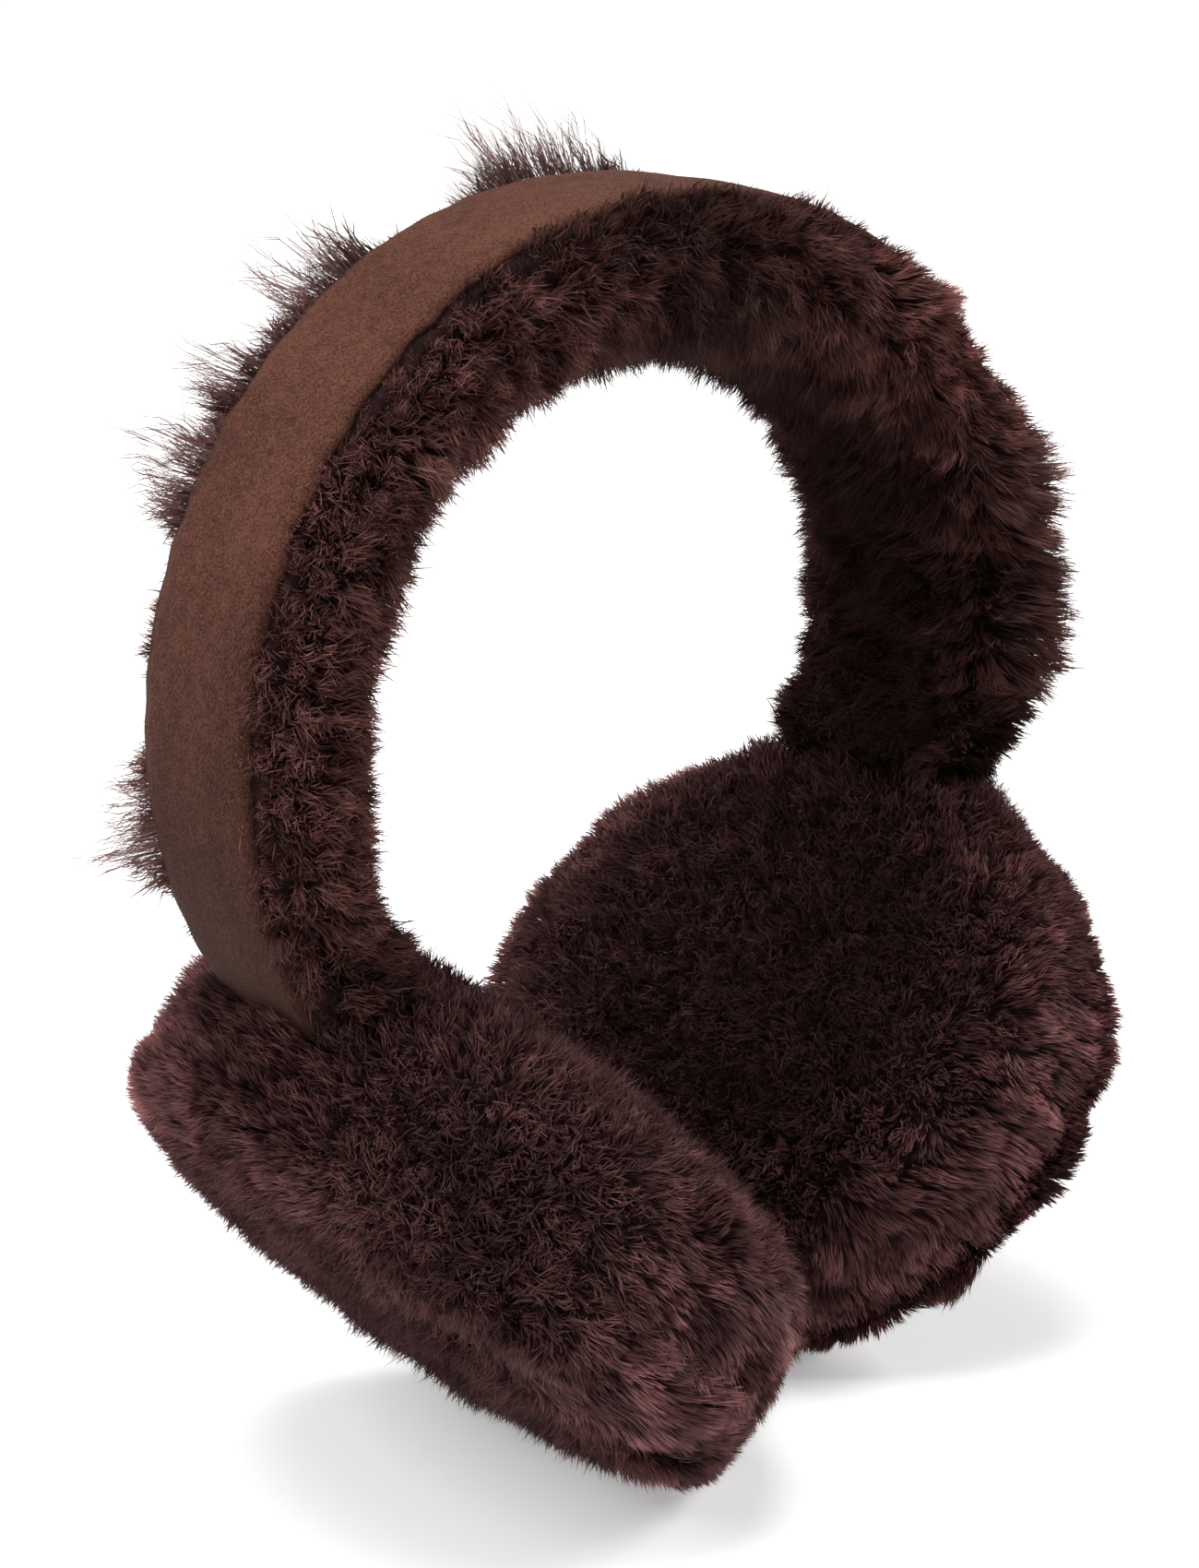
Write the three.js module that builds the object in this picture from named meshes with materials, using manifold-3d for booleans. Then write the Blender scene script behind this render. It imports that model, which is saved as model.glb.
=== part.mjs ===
// Fur earmuffs: a bent head band, bare suede outside and deep sheepskin pile inside, with two round fur ear pads.
// Millimetres, +Z up. +X runs from the left pad to the right one, and the front is -Y.
import * as THREE from "three";
import { mergeVertices } from "three/addons/utils/BufferGeometryUtils.js";
import Module from "manifold-3d";

const wasm = await Module();
wasm.setup();

const { degToRad, smoothstep } = THREE.MathUtils;

// The band's centre line, on the suede's outer face. Each arm turns down from the crown toward its pad.
const ARM_LENGTH = 179.5;
const ARM_TURN = 131; // degrees from the crown to the arm's end
const ARM_CURL = 0.23; // share of the turn that is gathered near the end
const ARM_SWAY = 11.2; // the ends stand this far out of line, the left one forward

// The arm goes on into the pad by this root, and narrows to this share where it is sewn in.
const ROOT_LENGTH = 9;
const ROOT_TAPER = 0.62;

// The suede strip.
const SUEDE_WIDTH = 28;
const SUEDE_WALL = 1.6;
const SUEDE_ARCH = 0.6; // its middle stands above its edges
const SUEDE_EDGE = 0.5; // rounding of its outer corners

// The pile of the band: its section is a superellipse that holds the suede in its outer side.
const PILE_OVERHANG = 8.6;
const PILE_DEPTH = 26;
const PILE_LIP = 1.6; // fur above the suede, beside it
const PILE_SQUARENESS = 2.6;
const LOCK_DEPTH = 2.8; // from the partings to the tips
const LOCK_LEAN = 1.3; // tips lean along the arm, toward the pad

// The ear pads: two fur discs each, sewn together round the rim.
const PAD_RADIUS = 54.2; // down the arm
const PAD_OVAL = 1.065; // width across the arm, as a share of the width down it
const OUTER_DEPTH = 18.6; // seam to the outer face
const INNER_DEPTH = 31.6; // seam to the face on the ear
const PAD_SQUARENESS = 3.2;
const PAD_LOCK_DEPTH = 2.2;
const PAD_LOCK_LEAN = 1.2; // tips lean out toward the rim
const SEAM_GROOVE = 7; // depth of the groove between the discs
const SEAM_RISE = 2.5; // degrees of the section's corner that the groove takes on each side
const FACE_CALM = 0.5; // the locks die away inside this share of the pad's radius
const ARM_IN_PAD = 10.5; // the arm's end lies this far inside the pad's rim
const SEAM_OUTWARD = 5.8; // the seam lies this far outside the suede's face
const FOOT_PRESS = 3.2; // the fur is pressed flat this deep where the pads rest
const LEAN_LIMIT = 30; // degrees that the whole may lean to bring both pads to the floor

// Between pieces.
const CLEARANCE = 0.3;

// How each pad hangs: degrees that its arm is twisted about its own length, that it leans out and that it turns
// its ear side to the front, how far it stands forward, and its size as a share of the common one, since fluffed
// fur is never quite alike.
const EARS = [
  { name: "left", end: -1, twist: 10.8, lean: 5.3, turn: -2.1, forward: 2.4, plump: 1.017 },
  { name: "right", end: 1, twist: 3, lean: 2.4, turn: 1.9, forward: 1.5, plump: 1 },
];

// Where the pile swells or grows in long tufts: its side, its place as a share of the arm from the crown, and its
// reach and width along the band in mm.
const TUFTS = [
  { side: "back", at: 0.04, reach: 11, width: 24 },
  { side: "back", at: -0.24, reach: 9, width: 18 },
  { side: "back", at: -0.36, reach: 9, width: 14 },
  { side: "back", at: -0.47, reach: 10, width: 13 },
  { side: "back", at: -0.79, reach: 8, width: 20 },
  { side: "front", at: 0.34, reach: 3, width: 22 },
  { side: "front", at: 0.6, reach: 5, width: 26 },
  { side: "front", at: 0.78, reach: 7, width: 38 },
  { side: "inside", at: 0.5, reach: 2.4, width: 110 },
];

// Degrees of the pile's section, counted from its back edge, toward which each side's tufts grow.
const TUFT_FACING = { back: 30, front: -185, inside: -90 };

// Fineness of the faceted surfaces.
const PILE_ROWS = 84;
const PILE_COLUMNS = 17;
const SUEDE_ROWS = 60;
const PAD_SEGMENTS = 54;
const PAD_RINGS = 10;

const SUEDE_MATERIAL = { color: 0x684840, roughness: 0.95, metalness: 0 };
const PILE_MATERIAL = { color: 0x33201e, roughness: 1, metalness: 0 };
const PAD_MATERIAL = { color: 0x432a29, roughness: 1, metalness: 0 };

/** Repeatable scatter between 0 and 1 for a place on a grid of locks. */
function scatter(row, column) {
  const wave = Math.sin(row * 12.9898 + column * 78.233) * 43758.5453;
  return wave - Math.floor(wave);
}

/** Height of a lock as a share of its depth: staggered tips of uneven length between low partings. */
function lockHeight(row, column) {
  const tip = (row + column) % 2 === 0;
  return tip ? 0.7 + 0.3 * scatter(row, column) : 0.2 * scatter(row, column);
}

/** Raised to a power with its sign kept, for superellipses. */
function signedPower(value, power) {
  return Math.sign(value) * Math.abs(value) ** power;
}

/** Angle that the band has turned down at a share of the arm: -1 left end, 0 crown, 1 right end. */
function bandTurn(share) {
  return degToRad(ARM_TURN * ((1 - ARM_CURL) * share + ARM_CURL * share ** 3));
}

/** Point on the band's centre line with its directions: along the band, out of the suede, and to the back. */
function bandFrame(share) {
  const steps = 48;
  const step = (ARM_LENGTH * share) / steps;
  const point = new THREE.Vector3(0, ARM_SWAY * share * Math.abs(share), 0);
  for (let k = 0; k < steps; k += 1) {
    const turn = bandTurn((share * (k + 0.5)) / steps);
    point.x += Math.cos(turn) * step;
    point.z -= Math.sin(turn) * step;
  }
  const turn = bandTurn(share);
  const along = new THREE.Vector3(Math.cos(turn), 0, -Math.sin(turn));
  const ear = EARS.find(({ end }) => end * share >= 0);
  const twist = degToRad(ear.twist) * Math.abs(share);
  const out = new THREE.Vector3(Math.sin(turn), 0, Math.cos(turn)).applyAxisAngle(along, -twist);
  const back = new THREE.Vector3(0, 1, 0).applyAxisAngle(along, -twist);
  return { point, along, out, back };
}

/** Distance along the arm from its hidden end, at a share of the arm. */
function fromArmEnd(share) {
  return ARM_LENGTH * (1 - Math.abs(share)) + ROOT_LENGTH;
}

/** Width of the band at a share of the arm, as a share of its full width: it narrows inside the pad. */
function bandTaper(share) {
  const sewnIn = ROOT_LENGTH + ARM_IN_PAD;
  return ROOT_TAPER + (1 - ROOT_TAPER) * smoothstep(fromArmEnd(share), 0, sewnIn);
}

/** Share of the locks' full depth: none on the hidden root, all of it clear of the pad. */
function lockFade(share) {
  const sewnIn = ROOT_LENGTH + ARM_IN_PAD;
  return smoothstep(fromArmEnd(share), 0.6 * sewnIn, 2.2 * sewnIn);
}

/** Place of a point that lies back and out from the band's centre line. */
function onBand(frame, back, out, along = 0) {
  return frame.point
    .clone()
    .addScaledVector(frame.back, back)
    .addScaledVector(frame.out, out)
    .addScaledVector(frame.along, along);
}

/** Height of the suede's outer face at a share of its half width. */
function suedeArch(across) {
  return -SUEDE_ARCH * across ** 2;
}

/** Closed body from rings of points that all have the same count, with a fan at each end. */
function bodyFromRings(rings, startCentre, endCentre) {
  const count = rings[0].length;
  const points = [...rings.flat(), startCentre, endCentre];
  const start = points.length - 2;
  const end = points.length - 1;
  const index = [];
  for (let row = 0; row + 1 < rings.length; row += 1) {
    for (let k = 0; k < count; k += 1) {
      const a = row * count + k;
      const b = row * count + ((k + 1) % count);
      const c = a + count;
      const d = b + count;
      if ((row + k) % 2 === 0) {
        index.push(a, b, d, a, d, c);
      } else {
        index.push(a, b, c, b, d, c);
      }
    }
  }
  const last = (rings.length - 1) * count;
  for (let k = 0; k < count; k += 1) {
    const next = (k + 1) % count;
    index.push(start, next, k);
    index.push(end, last + k, last + next);
  }
  const geometry = new THREE.BufferGeometry().setFromPoints(points);
  geometry.setIndex(signedVolume(points, index) < 0 ? index.reverse() : index);
  return geometry;
}

/** Volume inside a closed surface, negative where its faces look inward. */
function signedVolume(points, index) {
  let volume = 0;
  const cross = new THREE.Vector3();
  for (let k = 0; k < index.length; k += 3) {
    cross.crossVectors(points[index[k + 1]], points[index[k + 2]]);
    volume += points[index[k]].dot(cross) / 6;
  }
  return volume;
}

/** Mean of a ring of points. */
function centreOf(ring) {
  const sum = ring.reduce((total, point) => total.add(point), new THREE.Vector3());
  return sum.divideScalar(ring.length);
}

/** Shares of the arm for the rows of a body that runs from one hidden end to the other. */
function bandShares(rows) {
  const end = 1 + ROOT_LENGTH / ARM_LENGTH;
  return Array.from({ length: rows + 1 }, (_, row) => end * (-1 + (2 * row) / rows));
}

/** The suede strip: a thin arched wall with rounded outer corners, bent along the band. */
function suedeBand() {
  const face = [-0.5, 0, 0.5];
  const rings = bandShares(SUEDE_ROWS).map((share) => {
    const frame = bandFrame(share);
    const half = (SUEDE_WIDTH / 2) * bandTaper(share);
    const corner = half - SUEDE_EDGE;
    const edge = suedeArch(1);
    return [
      onBand(frame, -half, edge - SUEDE_EDGE),
      onBand(frame, -corner, edge),
      ...face.map((across) => onBand(frame, across * half, suedeArch(across))),
      onBand(frame, corner, edge),
      onBand(frame, half, edge - SUEDE_EDGE),
      onBand(frame, half, edge - SUEDE_WALL),
      ...face.toReversed().map((across) => onBand(frame, across * half, suedeArch(across) - SUEDE_WALL)),
      onBand(frame, -half, edge - SUEDE_WALL),
    ];
  });
  return bodyFromRings(rings, centreOf(rings[0]), centreOf(rings.at(-1)));
}

/** Half width, half depth and middle of the pile's section at a share of the arm. */
function pileSize(share) {
  const taper = bandTaper(share);
  const halfDepth = (PILE_DEPTH * taper) / 2;
  return {
    halfWidth: (SUEDE_WIDTH / 2 + PILE_OVERHANG) * taper,
    halfDepth,
    middle: PILE_LIP * taper - halfDepth,
  };
}

/** Point of the pile's section and its outward normal, at an angle counted from the back edge. */
function pilePoint(size, angle) {
  const power = 2 / PILE_SQUARENESS;
  const across = signedPower(Math.cos(angle), power);
  const height = signedPower(Math.sin(angle), power);
  const normal = new THREE.Vector2(
    signedPower(across, PILE_SQUARENESS - 1) / size.halfWidth,
    signedPower(height, PILE_SQUARENESS - 1) / size.halfDepth,
  ).normalize();
  return { back: across * size.halfWidth, out: size.middle + height * size.halfDepth, normal };
}

/** Reach of the long tufts at a share of the arm and an angle of the section. */
function tuftReach(share, angle) {
  return TUFTS.reduce((reach, tuft) => {
    const distance = (share - tuft.at) * ARM_LENGTH;
    const width = Math.exp(-((distance / (tuft.width / 2)) ** 2));
    const facing = Math.max(0, Math.cos(angle - degToRad(TUFT_FACING[tuft.side])));
    return reach + tuft.reach * width * facing ** 4;
  }, 0);
}

/** The pile of the band: locks all round one backing, open along its outer side where the suede lies. */
function bandFur() {
  const floorAcross = [-1, -0.5, 0, 0.5, 1];
  const rings = bandShares(PILE_ROWS).map((share, row) => {
    const frame = bandFrame(share);
    const size = pileSize(share);
    const seat = (SUEDE_WIDTH / 2) * bandTaper(share) + CLEARANCE;
    const lip = Math.acos((seat / size.halfWidth) ** (PILE_SQUARENESS / 2));
    const fade = lockFade(share);
    const ring = [];
    for (let column = 0; column <= PILE_COLUMNS; column += 1) {
      const angle = lip - ((Math.PI + 2 * lip) * column) / PILE_COLUMNS;
      const { back, out, normal } = pilePoint(size, angle);
      const inner = column > 0 && column < PILE_COLUMNS;
      const height = inner ? (lockHeight(row, column) - 0.5) * LOCK_DEPTH * fade : 0;
      const reach = inner ? height + tuftReach(share, angle) * fade : 0;
      const lean = inner ? Math.sign(share) * Math.max(0, height / LOCK_DEPTH) * LOCK_LEAN : 0;
      ring.push(onBand(frame, back + normal.x * reach, out + normal.y * reach, lean));
    }
    const bottom = -SUEDE_WALL - CLEARANCE;
    ring.push(...floorAcross.map((across) => onBand(frame, across * seat, suedeArch(across) + bottom)));
    return ring;
  });
  return bodyFromRings(rings, centreOf(rings[0]), centreOf(rings.at(-1)));
}

/** The room that one arm takes in its pad, on the rows of the pile: its section, locks, tufts and clearance. */
function armSocket(ear) {
  const angles = 3 * PILE_COLUMNS;
  const deep = 1 + (ROOT_LENGTH + CLEARANCE) / ARM_LENGTH;
  const mouth = 1 - (3 * ARM_IN_PAD + PAD_LOCK_DEPTH) / ARM_LENGTH;
  const shares = bandShares(PILE_ROWS)
    .map((share) => share * ear.end)
    .filter((share) => share > mouth)
    .sort((one, other) => other - one);
  const rings = [deep, ...shares].map((share) => {
    const frame = bandFrame(share * ear.end);
    const size = pileSize(share);
    return Array.from({ length: angles }, (_, k) => {
      const angle = (2 * Math.PI * k) / angles;
      const { back, out, normal } = pilePoint(size, angle);
      const tuft = tuftReach(share * ear.end, angle);
      const reach = CLEARANCE + (LOCK_DEPTH / 2 + tuft) * lockFade(share);
      return onBand(frame, back + normal.x * reach, out + normal.y * reach);
    });
  });
  return bodyFromRings(rings, centreOf(rings[0]), centreOf(rings.at(-1)));
}

/** Middle of a pad and its directions: down the arm, to its outer face, and across to the back. */
function padFrame(ear) {
  const arm = bandFrame(ear.end);
  const down = arm.along.clone().multiplyScalar(ear.end);
  const lean = -degToRad(ear.lean);
  const radial = down.clone().multiplyScalar(Math.cos(lean)).addScaledVector(arm.out, Math.sin(lean));
  const facing = arm.out.clone().multiplyScalar(Math.cos(lean)).addScaledVector(down, -Math.sin(lean));
  const turn = -degToRad(ear.turn);
  const back = arm.back.clone().multiplyScalar(Math.cos(turn)).addScaledVector(facing, Math.sin(turn));
  const outer = facing.clone().multiplyScalar(Math.cos(turn)).addScaledVector(arm.back, -Math.sin(turn));
  const centre = arm.point
    .clone()
    .addScaledVector(radial, PAD_RADIUS * ear.plump - ARM_IN_PAD)
    .addScaledVector(outer, SEAM_OUTWARD)
    .addScaledVector(back, -ear.forward);
  return { centre, radial, outer, back };
}

/** One fur disc of a pad, with face 1 outside and -1 toward the ear: locks over a rounded form. */
function padDisc(ear, face) {
  const frame = padFrame(ear);
  const power = 2 / PAD_SQUARENESS;
  const rim = PAD_RADIUS * ear.plump;
  const depth = (face > 0 ? OUTER_DEPTH : INNER_DEPTH) * ear.plump;
  const place = (radius, height, angle) =>
    frame.centre
      .clone()
      .addScaledVector(frame.radial, radius * Math.cos(angle))
      .addScaledVector(frame.back, radius * PAD_OVAL * Math.sin(angle))
      .addScaledVector(frame.outer, face * height);
  const angles = Array.from({ length: PAD_SEGMENTS }, (_, k) => (2 * Math.PI * k) / PAD_SEGMENTS);
  const seam = CLEARANCE / 2;
  const rings = [angles.map((angle) => place(rim - SEAM_GROOVE, seam, angle))];
  for (let ring = 0; ring < PAD_RINGS; ring += 1) {
    const rise = degToRad(SEAM_RISE + ((80 - SEAM_RISE) * ring) / (PAD_RINGS - 1));
    const radius = rim * Math.cos(rise) ** power;
    const height = depth * Math.sin(rise) ** power;
    const calm = smoothstep(radius / rim, 0, FACE_CALM);
    rings.push(
      angles.map((angle, k) => {
        const share = (lockHeight(ring + (face > 0 ? 0 : 41), k) - 0.5) * calm;
        const lock = share * PAD_LOCK_DEPTH;
        const lean = Math.max(0, share) * PAD_LOCK_LEAN;
        return place(
          radius + lock * Math.cos(rise) + lean * Math.sin(rise),
          Math.max(seam + 1, height + lock * Math.sin(rise)),
          angle,
        );
      }),
    );
  }
  return bodyFromRings(rings, place(0, seam, 0), place(0, depth, 0));
}

/** Solid for cutting, from a closed geometry. */
function solidOf(geometry) {
  const plain = geometry.clone();
  plain.deleteAttribute("normal");
  plain.deleteAttribute("uv");
  const merged = mergeVertices(plain, 1e-5);
  return new wasm.Manifold(
    new wasm.Mesh({
      numProp: 3,
      vertProperties: new Float32Array(merged.attributes.position.array),
      triVerts: new Uint32Array(merged.index.array),
    }),
  );
}

/** Geometry of a cut solid. */
function geometryOf(solid) {
  const mesh = solid.getMesh();
  const geometry = new THREE.BufferGeometry();
  geometry.setAttribute("position", new THREE.BufferAttribute(mesh.vertProperties, 3));
  geometry.setIndex(new THREE.BufferAttribute(mesh.triVerts, 1));
  return geometry;
}

/** The block under the floor that presses the resting fur flat. */
function floorBlock(level) {
  const size = 4 * (ARM_LENGTH + PAD_RADIUS);
  return new THREE.BoxGeometry(size, size, size).translate(0, 0, level - size / 2);
}

/** Lowest height that any of the geometries reaches once it is leaned about Y. */
function lowest(geometries, lean) {
  const heights = geometries.flatMap((geometry) => {
    const { array } = geometry.attributes.position;
    return Array.from({ length: array.length / 3 }, (_, k) => {
      return array[3 * k + 2] * Math.cos(lean) - array[3 * k] * Math.sin(lean);
    });
  });
  return heights.reduce((low, height) => Math.min(low, height), Infinity);
}

/** Angle about Y at which the two pads stand equally low, found by halving. */
function restingLean(leftPad, rightPad) {
  let low = -degToRad(LEAN_LIMIT);
  let high = degToRad(LEAN_LIMIT);
  while (high - low > 1e-5) {
    const middle = (low + high) / 2;
    if (lowest(leftPad, middle) > lowest(rightPad, middle)) {
      high = middle;
    } else {
      low = middle;
    }
  }
  return (low + high) / 2;
}

/** Named mesh with its own material. */
function piece(name, geometry, material) {
  const faces = geometry.toNonIndexed();
  faces.computeVertexNormals();
  const mesh = new THREE.Mesh(faces, new THREE.MeshStandardMaterial(material));
  mesh.name = name;
  return mesh;
}

/** Both fur discs of every pad, before they are cut. */
function allDiscs() {
  return EARS.flatMap((ear) => [
    { ear, name: `${ear.name}_pad_outer_fur`, geometry: padDisc(ear, 1) },
    { ear, name: `${ear.name}_pad_inner_fur`, geometry: padDisc(ear, -1) },
  ]);
}

/** The whole pair, leaned until both pads rest at z = 0, with its origin under the middle of its box. */
function earmuffs() {
  const discs = allDiscs();
  const [leftPad, rightPad] = EARS.map((ear) => {
    return discs.filter((disc) => disc.ear === ear).map((disc) => disc.geometry);
  });
  const lean = restingLean(leftPad, rightPad);
  const level = lowest(leftPad, lean) + FOOT_PRESS;
  const floor = solidOf(floorBlock(level));
  const group = new THREE.Group();
  group.add(piece("suede_band", suedeBand().rotateY(lean), SUEDE_MATERIAL));
  group.add(piece("band_fur", bandFur().rotateY(lean), PILE_MATERIAL));
  discs.forEach(({ ear, name, geometry }) => {
    const disc = solidOf(geometry.rotateY(lean));
    const socket = solidOf(armSocket(ear).rotateY(lean));
    group.add(piece(name, geometryOf(disc.subtract(socket).subtract(floor)), PAD_MATERIAL));
  });
  const box = new THREE.Box3().setFromObject(group);
  const centre = box.getCenter(new THREE.Vector3());
  group.position.set(-centre.x, -centre.y, -level);
  return group;
}

export default earmuffs();
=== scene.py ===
"""Sheepskin earmuffs: a head band of bare suede outside and deep pile inside, with a round fur pad at each end.

Sizes are in millimetres until a mesh is made. +Z is up, +X runs from the left pad to the right one, and the front
is -Y. The pile is real strands: each is a tapered blade that grows from a dark undercoat and is gathered into
wisps and locks, so the fur has the same depth from every side.
"""

import copy
import logging
import math
from dataclasses import dataclass
from enum import Enum

import bmesh
import bpy
import numpy as np
from mathutils import Matrix, Vector


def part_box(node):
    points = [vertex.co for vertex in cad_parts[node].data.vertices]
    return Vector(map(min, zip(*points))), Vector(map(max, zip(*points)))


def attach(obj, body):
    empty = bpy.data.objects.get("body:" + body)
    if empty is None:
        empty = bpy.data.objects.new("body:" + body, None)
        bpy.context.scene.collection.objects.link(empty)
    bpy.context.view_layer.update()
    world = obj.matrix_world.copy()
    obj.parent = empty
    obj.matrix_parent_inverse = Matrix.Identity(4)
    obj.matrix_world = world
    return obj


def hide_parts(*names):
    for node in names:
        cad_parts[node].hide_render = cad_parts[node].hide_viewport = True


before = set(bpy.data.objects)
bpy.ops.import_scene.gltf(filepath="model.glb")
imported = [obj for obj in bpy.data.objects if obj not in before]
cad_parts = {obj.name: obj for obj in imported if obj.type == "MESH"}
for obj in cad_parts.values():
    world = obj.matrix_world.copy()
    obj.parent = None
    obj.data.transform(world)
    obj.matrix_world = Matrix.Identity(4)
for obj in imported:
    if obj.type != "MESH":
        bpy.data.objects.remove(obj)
LOG = logging.getLogger("earmuffs")
MM = 0.001
STEP = 0.5  # mm by which directions on a hide are measured
STRAND_COLOUR = "strand_colour"
Colour = tuple[float, float, float]
Zone = tuple[float, float]


class Side(Enum):
    """A side of the band's pile: degrees of its section, counted from the back edge."""

    BACK = 30.0
    FRONT = -185.0
    INSIDE = -90.0


class Face(Enum):
    """The two fur discs of a pad."""

    OUTER = 1
    INNER = -1


def rotated_about_y(points: np.ndarray, degrees: float) -> np.ndarray:
    """Turn points about the Y axis.

    Args:
        points: Points as rows.
        degrees: Angle, counted from +Z toward +X.

    Returns:
        The turned points.
    """
    angle = math.radians(degrees)
    turned = points.copy()
    turned[..., 0] = points[..., 0] * math.cos(angle) + points[..., 2] * math.sin(angle)
    turned[..., 2] = points[..., 2] * math.cos(angle) - points[..., 0] * math.sin(angle)
    return turned


def unit(vectors: np.ndarray) -> np.ndarray:
    """Scale vectors to length one."""
    return vectors / np.maximum(np.linalg.norm(vectors, axis=-1, keepdims=True), 1e-9)


def smoothstep(value: np.ndarray, low: float, high: float) -> np.ndarray:
    """Ease from 0 at low to 1 at high."""
    share = np.clip((value - low) / (high - low), 0.0, 1.0)
    return share * share * (3.0 - 2.0 * share)


def waves(places: np.ndarray, size: float, seed: int, layers: int = 7) -> np.ndarray:
    """Smooth repeatable noise, as a sum of crossed waves.

    Args:
        places: Points as rows, in mm.
        size: Usual distance between two crests, in mm.
        seed: Picks the waves.
        layers: How many waves are summed.

    Returns:
        One value a point, mostly between -1 and 1.
    """
    rng = np.random.default_rng(seed)
    total = np.zeros(len(places))
    for _ in range(layers):
        direction = unit(rng.normal(size=places.shape[1]))
        pitch = 2.0 * math.pi / (size * rng.uniform(0.7, 1.5))
        total += np.sin(places @ direction * pitch + rng.uniform(0.0, 2.0 * math.pi))
    return total * math.sqrt(2.0 / layers) * 0.7


def signed_power(value: np.ndarray, power: float) -> np.ndarray:
    """Raise to a power and keep the sign, for superellipses."""
    return np.sign(value) * np.abs(value) ** power


def bell(distance: np.ndarray, width: float) -> np.ndarray:
    """Rise from 0 to 1 and fall back over a distance."""
    return np.exp(-((distance / width) ** 2))


def new_material(name: str, values: dict[str, object]) -> tuple[bpy.types.Material, bpy.types.Node]:
    """Start a material.

    Args:
        name: Its name.
        values: Values of its shader's sockets.

    Returns:
        The material and its shader.
    """
    material = bpy.data.materials.new(name)
    material.use_nodes = True
    shader = material.node_tree.nodes["Principled BSDF"]
    for socket, value in values.items():
        shader.inputs[socket].default_value = value
    return material, shader


def add_node(tree: bpy.types.NodeTree, kind: str, values: dict[str | int, float], **settings: str) -> bpy.types.Node:
    """Add a node to a tree.

    Args:
        tree: The node tree.
        kind: The node's type.
        values: Values of its sockets.
        settings: Its other settings.

    Returns:
        The node.
    """
    node = tree.nodes.new(kind)
    for setting, value in settings.items():
        setattr(node, setting, value)
    for socket, value in values.items():
        node.inputs[socket].default_value = value
    return node


def add_ramp(tree: bpy.types.NodeTree, stops: list[tuple[float, Colour]]) -> bpy.types.Node:
    """Add a colour ramp with these places and colours."""
    ramp = tree.nodes.new("ShaderNodeValToRGB")
    elements = ramp.color_ramp.elements
    for element, (position, colour) in zip(elements, (stops[0], stops[-1])):
        element.position = position
        element.color = (*colour, 1.0)
    for position, colour in stops[1:-1]:
        elements.new(position).color = (*colour, 1.0)
    return ramp


def add_bump(tree: bpy.types.NodeTree, height: bpy.types.NodeSocket, strength: float, depth: float) -> None:
    """Raise the material's surface by a height, with a strength and a depth in metres."""
    bump = add_node(tree, "ShaderNodeBump", {"Strength": strength, "Distance": depth})
    tree.links.new(height, bump.inputs["Height"])
    tree.links.new(bump.outputs["Normal"], tree.nodes["Principled BSDF"].inputs["Normal"])


@dataclass(frozen=True)
class Tuft:
    """A swell or a long tuft of the band's pile.

    Attributes:
        side: The side that it grows on.
        at: Its place as a share of the arm, -1 at the left end and 1 at the right.
        reach: How far it stands out, in mm.
        width: Its width along the band, in mm.
    """

    side: Side
    at: float
    reach: float
    width: float


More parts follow.
